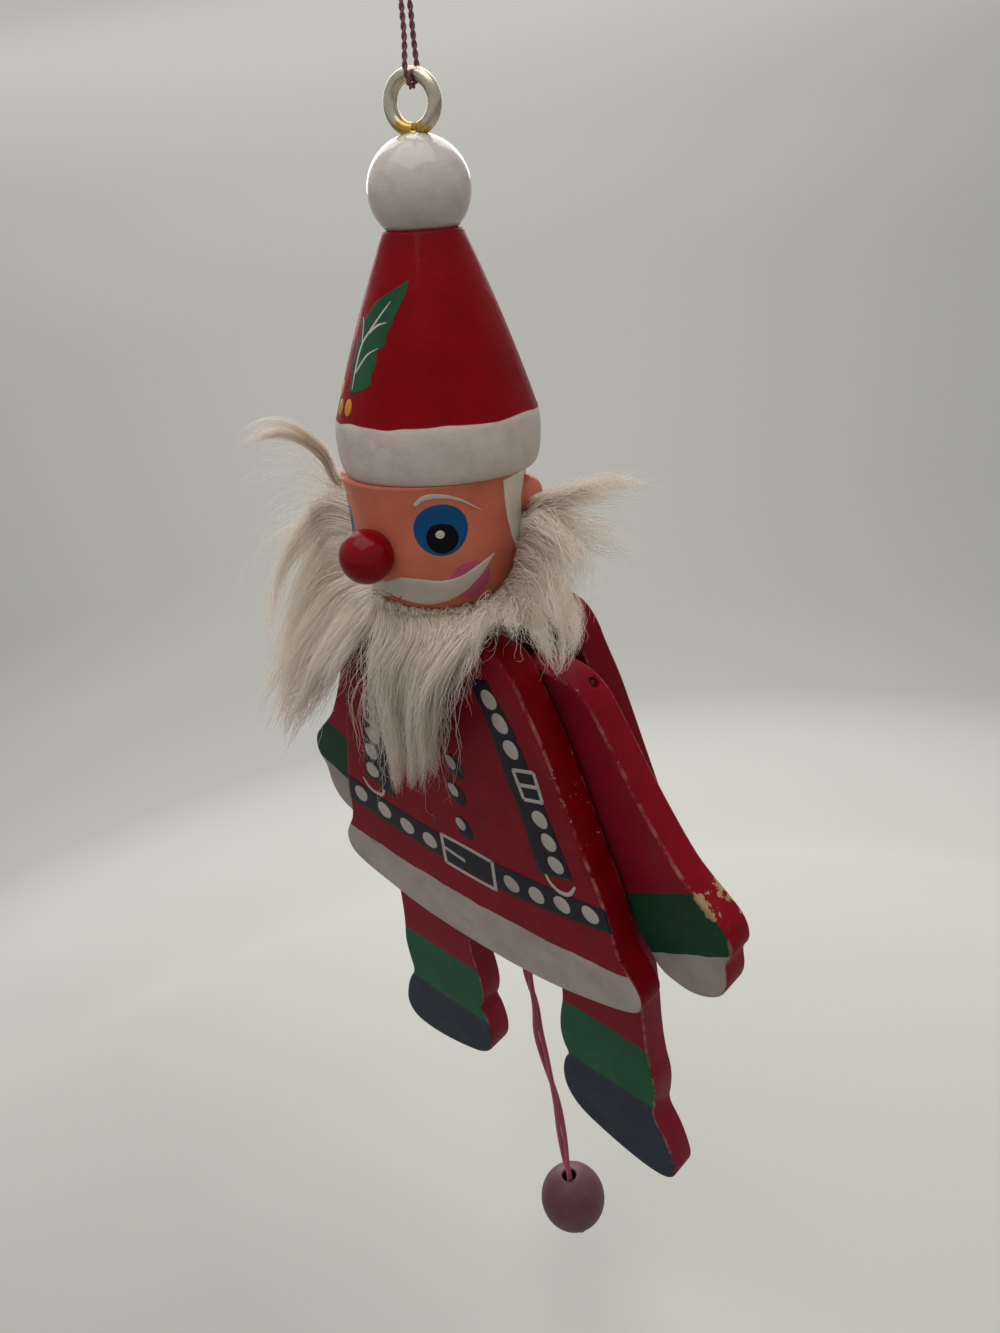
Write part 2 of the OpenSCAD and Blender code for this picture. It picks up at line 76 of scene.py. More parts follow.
# Camera: the place, the lens and the three directions of the photograph's picture plane
camera = {
    "place": (151.996, -140.398, 35.476), "focalPixels": 1271.476, "pictureWidth": 1000,
    "right": (0.73377, 0.66503, -0.13896), "down": (0.29348, -0.49474, -0.81799),
    "ahead": (-0.61274, 0.55943, -0.55820),
}
cameraData = bpy.data.cameras.new("camera")
cameraData.sensor_fit = "HORIZONTAL"
cameraData.sensor_width = 36
cameraData.lens = 36 * camera["focalPixels"] / camera["pictureWidth"]
cameraData.clip_start, cameraData.clip_end = 0.01, 50
cameraObject = bpy.data.objects.new("camera", cameraData)
bpy.context.scene.collection.objects.link(cameraObject)
axes = np.eye(4)
axes[:3, :3] = np.stack([camera["right"], np.negative(camera["down"]), np.negative(camera["ahead"])], 1)
axes[:3, 3] = np.array(camera["place"]) * mm
cameraObject.matrix_world = Matrix(axes.tolist())
bpy.context.scene.camera = cameraObject
print("camera placed")


# Shapes are (points, faces): points in metres, faces a list of whole-number arrays, one row a face
def outward(points, faces):
    # six times the volume is the sum of p0 . (p1 x p2) over fans of triangles; below zero is inside out
    volume = 0
    for f in faces:
        for k in range(1, f.shape[1] - 1):
            volume += (points[f[:, 0]] * np.cross(points[f[:, k]], points[f[:, k + 1]])).sum()
    return points, [f if volume > 0 else f[:, ::-1] for f in faces]


def joined(shapes):
    # the same shapes one after another, their face numbers moved up by the points before them
    starts = np.cumsum([0] + [len(s[0]) for s in shapes])
    return np.concatenate([s[0] for s in shapes]), [f + k for s, k in zip(shapes, starts) for f in s[1]]


def gridFaces(rows, columns):
    # four corners of each cell of a grid of rows, whose columns close round
    i, j = np.meshgrid(np.arange(rows - 1), np.arange(columns), indexing="ij")
    i, j = i.ravel(), j.ravel()
    k = (j + 1) % columns
    row = i * columns
    return np.stack([row + j, row + k, row + columns + k, row + columns + j], 1)


def fan(pole, ring):
    # triangles from a pole to each edge of a closed ring
    return np.stack([np.full(len(ring), pole), ring, np.roll(ring, -1)], 1)


def endFans(n, sides):
    # fans that close a tube of n points at its two ends, with points n and n + 1 as their poles
    return np.concatenate([fan(n, np.arange(sides)[::-1]), fan(n + 1, n - sides + np.arange(sides))])


def makePiece(name, shape, material, body, stands=(), values=None, flat=()):
    points, faces = shape
    mesh = bpy.data.meshes.new(name)
    sizes = np.concatenate([np.full(len(f), f.shape[1]) for f in faces])
    corners = np.concatenate([f.ravel() for f in faces])
    mesh.vertices.add(len(points))
    mesh.vertices.foreach_set("co", np.asarray(points, np.float32).ravel())
    mesh.loops.add(len(corners))
    mesh.loops.foreach_set("vertex_index", corners.astype(np.int32))
    mesh.polygons.add(len(sizes))
    mesh.polygons.foreach_set("loop_start", np.concatenate([[0], np.cumsum(sizes)[:-1]]).astype(np.int32))
    mesh.polygons.foreach_set("loop_total", sizes.astype(np.int32))
    smooth = np.concatenate([np.full(len(f), k not in flat) for k, f in enumerate(faces)])
    mesh.polygons.foreach_set("use_smooth", smooth)
    for key, value in (values or {}).items():
        mesh.attributes.new(key, "FLOAT", "POINT").data.foreach_set("value", np.asarray(value, np.float32))
    mesh.update(calc_edges=True)
    mesh.validate()
    piece = bpy.data.objects.new(name, mesh)
    bpy.context.scene.collection.objects.link(piece)
    mesh.materials.append(material)
    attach(piece, body)
    if stands:
        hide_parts(*stands)
    return piece


# Materials
def linear(hexColour):
    # sRGB hex to linear light: ((c + 0.055) / 1.055) ** 2.4, or c / 12.92 for dark values
    c = np.array([int(hexColour[k:k + 2], 16) / 255 for k in (1, 3, 5)])
    return (*np.where(c > 0.04045, ((c + 0.055) / 1.055) ** 2.4, c / 12.92).tolist(), 1)


building = {}


def startMaterial(name):
    # an empty material; every node made from here on goes into its tree
    material = bpy.data.materials.new(name)
    material.use_nodes = True
    building["tree"] = material.node_tree
    building["tree"].nodes.clear()
    return material


def addNode(kind, inputs=None, **settings):
    # adds one shader node with its settings; an input is a value, or another node's socket to link
    node = building["tree"].nodes.new("ShaderNode" + kind)
    for key, value in settings.items():
        setattr(node, key, value)
    for key, value in (inputs or {}).items():
        if isinstance(value, bpy.types.NodeSocket):
            building["tree"].links.new(value, node.inputs[key])
        else:
            node.inputs[key].default_value = value
    return node


def finishMaterial(inputs, height=None, depth=0.05):
    # a Principled surface, with a bump of that depth in millimetres where there is a height
    if height is not None:
        inputs = dict(inputs, Normal=addNode("Bump", {
            "Height": height, "Strength": 1.0, "Distance": depth * mm}).outputs[0])
    surface = addNode("BsdfPrincipled", inputs)
    addNode("OutputMaterial", {"Surface": surface.outputs[0]})


def noiseOf(place, size, detail=2.0, roughness=0.5):
    # cloudy noise whose lumps are about size millimetres across, on object coordinates
    return addNode("TexNoise", {
        "Vector": place, "Scale": 1 / (size * mm), "Detail": detail, "Roughness": roughness}).outputs["Fac"]


def arithmetic(operation, a, b):
    return addNode("Math", {0: a, 1: b}, operation=operation).outputs[0]


def times(a, b):
    return arithmetic("MULTIPLY", a, b)


def plus(a, b):
    return arithmetic("ADD", a, b)


def fade(value, low, high, toLow=0.0, toHigh=1.0):
    # a clamped straight ramp: toLow at low, toHigh at high
    return addNode("MapRange", {
        "Value": value, "From Min": low, "From Max": high, "To Min": toLow, "To Max": toHigh}).outputs[0]


def over(share, below, above, blend="MIX"):
    # above laid over below by share; colours are hex strings or sockets
    below, above = [linear(c) if isinstance(c, str) else c for c in (below, above)]
    return addNode("Mix", {0: share, 6: below, 7: above}, data_type="RGBA", blend_type=blend).outputs[2]


def placeOf():
    return addNode("TexCoord").outputs["Object"]


def attributeOf(name):
    return addNode("Attribute", attribute_name=name).outputs["Fac"]


def squeezed(place, scale):
    return addNode("Mapping", {"Vector": place, "Scale": scale}).outputs[0]


def toned(place, colour, size=7.0, depth=0.16):
    # hand-laid paint is thicker in one place than another: the colour goes darker and paler by depth
    shade = fade(noiseOf(place, size, 3.0), 0.3, 0.7, 1 - depth, 1 + depth)
    grey = addNode("CombineColor", {0: shade, 1: shade, 2: shade}).outputs[0]
    return over(1.0, colour, grey, "MULTIPLY")


# Oil-gloss enamel laid by hand with a soft brush: a thick glossy skin with faint brush lines
enamel = {"rough": 0.4, "coat": 0.12, "coatRough": 0.1, "shine": 0.06, "lineSize": 0.5, "swellSize": 4.5}


def brushLines(place, along, lineSize, swellSize):
    # fine lines are noise squeezed across the brush's path, on a slow swell of the thick paint
    lines = noiseOf(squeezed(place, along), lineSize, 3.0, 0.6)
    return plus(lines, times(noiseOf(place, swellSize, 1.0), 1.8))


def enamelMaterial(name, colour, along=(1, 1, 0.12), depth=0.045, tone=0.14, rough=None, coat=None,
                   grime=0.0, specks=0.0):
    # plain enamel; pale paints also carry grey smudges (grime) and small dark specks
    material = startMaterial(name)
    place = placeOf()
    paint = toned(place, colour, 6.0, tone)
    if grime:
        smudge = fade(noiseOf(place, 5.0, 5.0, 0.65), 0.48, 0.75, 0.0, grime)
        paint = over(smudge, paint, "#716153")
    if specks:
        cells = addNode("TexVoronoi", {"Vector": place, "Scale": 1 / (2.6 * mm)})
        dot = fade(cells.outputs["Distance"], 0.05, 0.09, 1.0, 0.0)
        few = fade(addNode("SeparateColor", {0: cells.outputs["Color"]}).outputs[0],
                   1 - specks, 1.01 - specks)
        paint = over(times(dot, few), paint, "#362a23")
    finishMaterial({
        "Base Color": paint, "Roughness": enamel["rough"] if rough is None else rough,
        "Specular IOR Level": enamel["shine"],
        "Coat Weight": enamel["coat"] if coat is None else coat, "Coat Roughness": enamel["coatRough"]},
                   brushLines(place, along, enamel["lineSize"], enamel["swellSize"]), depth)
    return material


def woodWithPaint(name, bands, sideColour, turn, wobble=0.35, bow=0.0, chipShare=0.5):
    # Painted birch plywood. The front's colours change at heights up the limb or board, bands =
    # [(height, colour below it)], from the lowest up, in the piece's own layout: turn = (place, degrees).
    # "edge" is 1 along a corner, "side" is 1 on the cut edge and the back, "worn" adds chips at knocks.
    material = startMaterial(name)
    place = placeOf()
    own = addNode("Mapping", {
        "Vector": place, "Location": tuple(onFigure(turn[0])), "Rotation": (0, np.radians(turn[1]), 0),
        "Scale": (mm, mm, mm)}, vector_type="TEXTURE").outputs[0]
    across = addNode("SeparateXYZ", {0: own}).outputs
    shake = fade(noiseOf(place, 5.0, 2.0), 0.25, 0.75, -wobble, wobble)
    dip = times(times(across["X"], across["X"]), -bow)
    level = plus(plus(across["Z"], shake), dip)
    front = bands[-1][1]
    for height, colour in bands[-2::-1]:
        front = over(fade(level, height - 0.07, height + 0.07, 1.0, 0.0), front, colour)
    front = toned(place, front, 9.0, 0.12)
    dirt = fade(noiseOf(place, 7.0, 6.0, 0.7), 0.52, 0.8, 0.0, 0.28)
    front = over(dirt, front, "#584642")
    side = toned(place, sideColour, 6.0, 0.13)
    paint = over(fade(attributeOf("side"), 0.45, 0.55), front, side)
    rub = fade(noiseOf(place, 3.0, 5.0, 0.65), 0.45, 0.65, 0.0, 0.45)
    rubbed = times(fade(attributeOf("edge"), 0.8, 1.0), rub)
    paint = over(rubbed, paint, "#b48d86")
    flake = noiseOf(place, 1.5, 5.0, 0.68)
    knock = plus(times(attributeOf("edge"), 0.05 * chipShare), times(attributeOf("worn"), 0.24))
    chip = fade(plus(flake, knock), 0.735, 0.75)
    grain = noiseOf(squeezed(place, (1, 1, 0.08)), 0.6, 3.0)
    surface = over(chip, paint, over(grain, "#8c6a49", "#b79c7a"))
    relief = arithmetic("SUBTRACT", brushLines(place, (1, 1, 0.1), 0.5, 6.0), times(chip, 2.5))
    finishMaterial({
        "Base Color": surface, "Roughness": fade(chip, 0, 1, 0.42, 0.75),
        "Specular IOR Level": 0.05, "Coat Weight": 0.03, "Coat Roughness": 0.2}, relief, 0.035)
    return material


# Threads, dyed cotton: each ply shows fine slanting yarn, about 0.25 mm apart, with a dull fuzzy surface
def threadMaterial(name, colour, paleColour, yarn=0.25):
    material = startMaterial(name)
    along = addNode("CombineXYZ", {0: attributeOf("along"), 1: attributeOf("round")})
    lines = addNode("TexWave", {
        "Vector": along.outputs[0], "Scale": 1 / yarn / 6.283, "Distortion": 1.2, "Detail": 2.0,
        "Detail Scale": 2.0}, bands_direction="DIAGONAL").outputs["Fac"]
    fuzz = noiseOf(placeOf(), 0.6, 4.0, 0.7)
    shade = fade(plus(lines, fuzz), 0.5, 1.7, 0.0, 0.55)
    finishMaterial({
        "Base Color": over(shade, colour, paleColour), "Roughness": 0.85,
        "Sheen Weight": 0.25, "Sheen Roughness": 0.4}, lines, 0.06)
    return material


cottonRed = threadMaterial("dyedCottonThread", "#a02c3c", "#d9808c")
cottonFine = threadMaterial("dyedCottonFineThread", "#7e3d48", "#b57e86", 0.2)


# Cords are made first. Each is plies wound round one centreline
def smoothPath(places, count):
    # Catmull-Rom curve: between two places a cubic whose slopes are half the step across them
    p = np.asarray(places, float)
    p = np.concatenate([[2 * p[0] - p[1]], p, [2 * p[-1] - p[-2]]])
    t = np.linspace(0, len(p) - 3 - 1e-9, count)
    i = t.astype(int)
    u = (t - i)[:, None]
    a, b, c, d = p[i], p[i + 1], p[i + 2], p[i + 3]
    bend, twist = 2 * a - 5 * b + 4 * c - d, 3 * b - a - 3 * c + d
    return 0.5 * (2 * b + (c - a) * u + bend * u ** 2 + twist * u ** 3)


def distanceAlong(path):
    # the length of the path up to each of its points
    return np.concatenate([[0], np.cumsum(np.linalg.norm(np.diff(path, axis=0), axis=1))])


def evenly(path, count):
    # the same line with points evenly spaced along it, and its length
    along = distanceAlong(path)
    at = np.linspace(0, along[-1], count)
    return np.stack([np.interp(at, along, path[:, k]) for k in range(path.shape[1])], 1), along[-1]


def frames(path, aside):
    # tangent by differences; normal is the aside direction less its part along the tangent
    tangent = np.gradient(path, axis=0)
    tangent /= np.linalg.norm(tangent, axis=1)[:, None]
    normal = np.asarray(aside, float) - (tangent @ np.asarray(aside, float))[:, None] * tangent
    normal /= np.linalg.norm(normal, axis=1)[:, None]
    return normal, np.cross(tangent, normal)


def tube(path, radius, aside, sides=12):
    # rings of points round a path: normal * cos + binormal * sin, times the radius there
    normal, binormal = frames(path, aside)
    a = np.linspace(0, 2 * np.pi, sides, endpoint=False)
    r = np.broadcast_to(radius, (len(path),))[:, None, None]
    ring = normal[:, None] * np.cos(a)[:, None] + binormal[:, None] * np.sin(a)[:, None]
    points = np.concatenate([(path[:, None] + r * ring).reshape(-1, 3), path[[0, -1]]])
    along = distanceAlong(path) / mm
    values = {"along": np.concatenate([np.repeat(along, sides), along[[0, -1]]]),
              "round": np.concatenate([np.tile(a, len(path)), [0, 0]])}
    return outward(points, [gridFaces(len(path), sides), endFans(len(path) * sides, sides)]), values


def gathered(parts):
    # several (shape, values) pairs as one
    shapes, values = zip(*parts)
    return joined(shapes), {key: np.concatenate([v[key] for v in values]) for key in values[0]}


def plied(path, cord):
    # each of two plies goes round the centreline once a pitch, a ply's radius away from it
    normal, binormal = frames(path, cord["aside"])
    radius = cord["diameter"] / 4 * mm
    turns = distanceAlong(path) / (cord["pitch"] * mm)
    parts = []
    for share in (0, 0.5):
        a = 2 * np.pi * (turns + share + cord["start"] + cord["wander"] * np.sin(turns * 2.3))
        line = path + radius * (np.cos(a)[:, None] * normal + np.sin(a)[:, None] * binormal)
        parts.append(tube(line, radius, cord["aside"], 10))
    return gathered(parts)


def knot(centre, cord):
    # a thread that goes once round a ring and three times round the ring's own body, 0.34 of the knot's
    # radius thick, and the same again with the ring on edge
    t = np.linspace(0, 2 * np.pi, 120)
    r = cord["knotR"] * mm
    far = r * (0.5 + 0.34 * np.cos(3 * t))
    line = np.stack([far * np.cos(t), far * np.sin(t), r * 0.34 * 1.3 * np.sin(3 * t)], 1)
    return gathered([tube((line @ turnMatrix("x", spin).T + centre)[:-1], cord["knotThread"] * mm,
                          (0.2, 0.3, 0.93), 10) for spin in (0, 90)])


# Hanging cord: one thin two-ply thread, doubled through the eye
hangingCord = {
    "route": [(-1.3, 3.4, 18.6), (-0.9, 2.5, 16.5), (-0.5, 1.6, 13.5), (0, 0.6, 9), (0.35, -0.5, 5.6),
              (0.5, -0.75, 4.6), (0.55, -0.65, 3.5), (0.3, -0.25, 2.5), (-0.1, 0.4, 2), (-0.45, 1.2, 2),
              (-0.7, 2.1, 2.5), (-0.75, 2.7, 3.3), (-0.75, 2.85, 4.4), (-1.1, 3.4, 8), (-1.6, 4.3, 13),
              (-1.7, 4.4, 16.5), (-1.4, 3.9, 18.6)],
    "diameter": 0.9, "pitch": 2.6, "aside": (0.93, 0.36, 0.05), "start": 0.0, "wander": 0.0,
    "knotAt": (-1.35, 3.65, 19.8), "knotR": 1.4, "knotThread": 0.42,
}
loopPath, loopLength = evenly(smoothPath(np.array(hangingCord["route"]) * mm, 400), 260)
shape, values = plied(loopPath, hangingCord)
hangingThread = makePiece("hanging_thread", shape, cottonFine, "figure", ["hanging_loop"], values)
shape, values = knot(np.array(hangingCord["knotAt"]) * mm, hangingCord)
loopKnot = makePiece("hanging_thread_knot", shape, cottonFine, "figure", ["loop_knot"], values)

# Pull cord: a thicker thread doubled and loosely twisted, from the hem to the bead
pullCord = {
    "route": [(0, 0), (0, -1), (-0.8, -9), (-1.9, -18), (-1.4, -28), (-2, -38), (-1.2, -49), (-0.2, -61),
              (-0.4, -74), (-0.7, -84), (-0.5, -90), (-0.5, -109)],
    "diameter": 2.4, "pitch": 62, "aside": (0.75, -0.66, 0), "start": 0.06, "wander": 0.05,
    "knotAt": (-0.5, 11, -111.3), "knotR": 2.3, "knotThread": 0.62,
}
places = np.array([(x, figure["midY"], z) for x, z in pullCord["route"]])
pullPath, pullLength = evenly(smoothPath(onFigure(places), 600), 400)
shape, values = plied(pullPath, pullCord)
pullThread = makePiece("pull_cord_strands", shape, cottonRed, "pull", ["pull_cord"], values)
shape, values = knot(onFigure(pullCord["knotAt"]), pullCord)
beadKnot = makePiece("bead_knot_turns", shape, cottonRed, "pull", ["bead_knot"], values)


def lathe(profile, segments=144, place=onFigure, centre=(0, 0, 0), closed=False):
    # a profile of (radius, height) turned about an upright axis: x = r sin a, y = -r cos a.
    # An open profile closes at its two ends with a pole, a closed one joins up into a ring
    profile = np.asarray(profile, float)
    a = np.linspace(0, 2 * np.pi, segments, endpoint=False)
    r, h = profile[:, :1], profile[:, 1:]
    h = np.broadcast_to(h, (len(r), segments))
    points = np.stack([r * np.sin(a), -r * np.cos(a), h], 2).reshape(-1, 3)
    heights = h.ravel()
    faces = [gridFaces(len(profile), segments)]
    n = len(points)
    if closed:
        last = np.arange(n - segments, n)
        first = np.arange(segments)
        faces.append(np.stack([last, np.roll(last, -1), np.roll(first, -1), first], 1))
    else:
        points = np.concatenate([points, [(0, 0, profile[0, 1]), (0, 0, profile[-1, 1])]])
        heights = np.concatenate([heights, profile[[0, -1], 1]])
        faces.append(endFans(n, segments))
    return outward(place(points + centre), faces), {"height": heights}


# Bead: a turned wooden egg, dyed maroon and barely polished, with a countersunk hole
# "inside" is painted shade: the dark colour laid in the hole, for the shade that falls there
bead = {"diameter": 15.8, "length": 19, "centre": (-0.5, 11, -99.5), "hole": 1.5, "mouth": 2.0, "sides": 96,
        "dye": "#542732", "worn": "#70444d", "dark": "#391c25", "inside": "#2a1219"}
beadWood = startMaterial("dyedBeadWood")
place = placeOf()
grain = noiseOf(squeezed(place, (1, 1, 0.2)), 0.9, 4.0)
mottle = fade(noiseOf(place, 5.0, 2.0), 0.3, 0.75, 0.0, 0.6)
dyedWithHoleShade = over(mottle, bead["dye"], bead["worn"])
dyedWithHoleShade = over(fade(grain, 0.5, 0.8, 0.0, 0.15), dyedWithHoleShade, bead["dark"])
# painted shade: the funnel and the bore are darkened towards bead["inside"], for the shade in the hole
dyedWithHoleShade = over(fade(attributeOf("mouth"), 0.2, 0.9), dyedWithHoleShade, bead["inside"])
finishMaterial({"Base Color": dyedWithHoleShade, "Roughness": 0.52, "Coat Weight": 0.12, "Coat Roughness": 0.3},
               grain, 0.05)
half = bead["diameter"] / 2
angle = np.linspace(-1, 1, 56) * np.arccos(bead["mouth"] / half)
outside = np.stack([half * np.cos(angle), bead["length"] / 2 * np.sin(angle)], 1)
lip = outside[-1]
funnel = [(lip[0] - 0.25, lip[1] - 0.12), (bead["hole"] + 0.15, lip[1] - 1.2), (bead["hole"], lip[1] - 2.2)]
beadProfile = np.array([(r, -h) for r, h in reversed(funnel)] + outside.tolist() + funnel)
beadShape, _ = lathe(beadProfile, bead["sides"], onFigure, bead["centre"], closed=True)
# painted shade: how much of the hole's dark colour each ring takes, 1 in the bore and none outside
holeShadeShare = np.concatenate([[1, 0.9, 0.35], np.zeros(len(outside)), [0.35, 0.9, 1]])
beadPiece = makePiece("pull_bead_wood", beadShape, beadWood, "pull", ["pull_bead"],
                      {"mouth": np.repeat(holeShadeShare, bead["sides"])})
print("cords, knots and bead made")


# Flat wooden boards: an outline sawn from plywood, its corners rubbed round
def rounded(outline, passes=3):
    # each pass cuts every corner a quarter of the way along both of its sides
    p = np.asarray(outline, float)
    for _ in range(passes):
        after = np.roll(p, -1, 0)
        p = np.stack([0.75 * p + 0.25 * after, 0.25 * p + 0.75 * after], 1).reshape(-1, p.shape[1])
    return p


def plate(outline, y0, edgeR, layOut, step=0.6, wornSpots=()):
    # rings of the outline from the front face round to the back: inset and depth follow a quarter
    # circle at each corner, and the inset runs along the outline's own inward normal
    y1 = y0 + figure["boardT"]
    count = int(distanceAlong(outline)[-1] / step) + 1
    loop = evenly(np.concatenate([outline, outline[:1]]), count)[0][:-1]
    tangent = np.roll(loop, -1, 0) - np.roll(loop, 1, 0)
    inward = np.stack([-tangent[:, 1], tangent[:, 0]], 1) / np.linalg.norm(tangent, axis=1)[:, None]
    inward *= np.sign((loop[:, 0] * np.roll(loop[:, 1], -1) - np.roll(loop[:, 0], -1) * loop[:, 1]).sum())
    n = len(loop)
    r = edgeR * np.interp(np.arange(n), np.linspace(0, n, 24), np.append(dice.uniform(0.75, 1.3, 23), 1.0))
    q = np.linspace(0, np.pi / 2, 5)[:, None]
    inset = np.concatenate([[r + 0.9], (1 - np.sin(q)) * r])
    down = np.concatenate([[0 * r], (1 - np.cos(q)) * r])
    inset = np.concatenate([inset, [0 * r], inset[::-1]])
    y = np.concatenate([y0 + down, [0 * r + (y0 + y1) / 2], (y1 - down)[::-1]])
    flat = loop + inward * inset[:, :, None]
    points = np.stack([flat[:, :, 0], y, flat[:, :, 1]], 2).reshape(-1, 3)
    edge = np.repeat([0, 0.7, 1, 1, 1, 0.6, 0, 0.6, 1, 1, 1, 0.5, 0], n)
    side = np.repeat([0, 0, 0, 0.5, 1, 1, 1, 1, 1, 1, 1, 1, 1], n)
    worn = np.zeros(len(points))
    for x, z, radius, much in wornSpots:
        away = np.hypot(points[:, 0] - x, points[:, 2] - z)
        worn = np.maximum(worn, much * np.exp(-(away / radius) ** 2))
    values = {"edge": edge, "side": side, "worn": worn * (edge * 0.7 + 0.3)}
    faces = [gridFaces(len(y), n), np.arange(n)[None, ::-1], np.arange(len(points) - n, len(points))[None]]
    return outward(layOut(points), faces), values


tunic = {"width": 79, "height": 78.2, "edgeR": 0.55, "bandTop": 13.1, "bandBow": 0.00197,
         "front": "#811120", "side": "#74010b", "back": "#710f19", "band": "#aea49e",
         "shares": [[0, 0], [0.29, 0.005], [0.53, 0.02], [0.75, 0.047], [0.92, 0.072], [1.0, 0.1],
                    [1.01, 0.15], [0.97, 0.19], [0.91, 0.235], [0.885, 0.29], [0.87, 0.35], [0.835, 0.43],
                    [0.785, 0.51], [0.71, 0.65], [0.645, 0.765], [0.605, 0.83], [0.545, 0.9], [0.515, 0.95],
                    [0.45, 0.995], [0.34, 1.005], [0.22, 0.985], [0.1, 0.972], [0, 0.97]],
         "frontWorn": [(28.5, 42, 5, 0.55), (25.5, 51, 5, 1.0), (23.5, 58, 4, 0.9), (32.5, 26, 4, 0.3),
                       (39, 10, 2.5, 0.5), (36, 17, 3, 0.3), (20, 2.2, 6, 0.3), (-38, 12, 4, 0.4)],
         "backWorn": [(28, 42, 4, 0.5), (34, 24, 4, 0.4)]}
halfTunic = np.array(tunic["shares"]) * (tunic["width"] / 2, tunic["height"])
tunicOutline = rounded(np.concatenate([halfTunic, (halfTunic * (-1, 1))[-2:0:-1]]))
frontPaint = woodWithPaint("tunicFrontPaint", [(tunic["bandTop"], tunic["band"]), (0, tunic["front"])],
                           tunic["side"], ((0, 0, 0), 0), 0.3, tunic["bandBow"], 0.5)
backPaint = woodWithPaint("tunicBackPaint", [(0, tunic["side"])], tunic["back"], ((0, 0, 0), 0),
                          chipShare=0.3)
for name, y, paint in (("front", 0, frontPaint), ("back", figure["backY"], backPaint)):
    shape, values = plate(tunicOutline, y, tunic["edgeR"], onFigure, wornSpots=tunic[name + "Worn"])
    makePiece("tunic_" + name, shape, paint, "figure", [name + "_board"], values, flat=(1, 2))
print("tunic boards made")

# Limbs, laid out hanging straight down from their pegs and mirrored for the left. What differs is by side,
# 1 for the right and -1 for the left; bands are where a colour ends, up the limb
stringHole = {"radius": 0.85, "bore": 2.05}
sideNames = {1: "right", -1: "left"}
limbs = {
    "arm": {"width": 21.6, "reach": 54, "edgeR": 0.6, "pegX": 19.5, "pegZ": {1: 57.4, -1: 57.4},
            "turn": {1: -28, -1: 25}, "holeOut": (0.62, 0.14), "holeIn": (-0.2, 0.215), "slot": "tunic_paint",
            "colours": ("#9f9790", "#1c412c", "#851525"), "side": "#820f1e", "wobble": 0.22,
            "bands": {1: (-44.5, -31.4, 0), -1: (-44.5, -31.4, 0)},
            "worn": {1: [(14.2, -50, 3, 0.6), (15.4, -33.6, 2.2, 1.8), (16.4, -36.2, 1.8, 1.6),
                         (17.8, -40, 2.5, 0.7), (13.6, -20, 4, 0.5), (13.8, -6, 3, 0.4), (13, 8, 2, 0.4)],
                     -1: [(17, -40, 4, 0.7)]},
            "shares": [[0.6, 0.16], [0.5, 0.21], [0.24, 0.27], [-0.02, 0.27], [-0.18, 0.225],
                       [-0.21, 0.14], [-0.19, 0], [-0.14, -0.2], [-0.12, -0.38], [-0.12, -0.56],
                       [-0.17, -0.7], [-0.185, -0.82], [-0.175, -0.9], [-0.08, -0.945], [0.05, -0.99],
                       [0.25, -1.005], [0.41, -0.99], [0.54, -0.94], [0.62, -0.87], [0.66, -0.85],
                       [0.78, -0.82], [0.835, -0.74], [0.77, -0.65], [0.71, -0.58], [0.655, -0.5],
                       [0.63, -0.28], [0.65, -0.02], [0.65, 0.1]]},
    "leg": {"width": 29.6, "reach": 71.2, "edgeR": 0.5, "pegX": 20, "pegZ": {1: 16.9, -1: 13.9},
            "turn": {1: 2.8, -1: 2.8}, "holeOut": (0.42, 0.1), "holeIn": (-0.3, 0.125),
            "slot": "stocking_paint", "colours": ("#2d3745", "#265a3f", "#851525"), "side": "#80212e",
            "wobble": 0.25, "bands": {1: (-48.2, -30.5, 0), -1: (-53.2, -35.6, 0)},
            "worn": {1: [(15.8, -40, 5, 0.45), (16.8, -47, 4, 0.5), (20, -62, 5, 0.6), (20.5, -67, 3, 0.7),
                         (14.4, -24, 5, 0.4)],
                     -1: [(-7.5, -40, 6, 0.4), (-8.2, -60, 5, 0.4)]},
            "shares": [[0.36, 0.08], [0.22, 0.16], [0.05, 0.18], [-0.18, 0.175], [-0.28, 0.13],
                       [-0.27, 0], [-0.25, -0.15], [-0.225, -0.31], [-0.22, -0.42], [-0.265, -0.5],
                       [-0.285, -0.58], [-0.265, -0.645], [-0.22, -0.685], [-0.27, -0.715], [-0.31, -0.79],
                       [-0.29, -0.87], [-0.18, -0.935], [0.03, -0.97], [0.32, -1.0], [0.52, -1.005],
                       [0.65, -0.99], [0.71, -0.94], [0.69, -0.88], [0.62, -0.79], [0.52, -0.725],
                       [0.55, -0.65], [0.56, -0.57], [0.52, -0.49], [0.495, -0.38], [0.485, -0.22],
                       [0.45, -0.05]]},
}


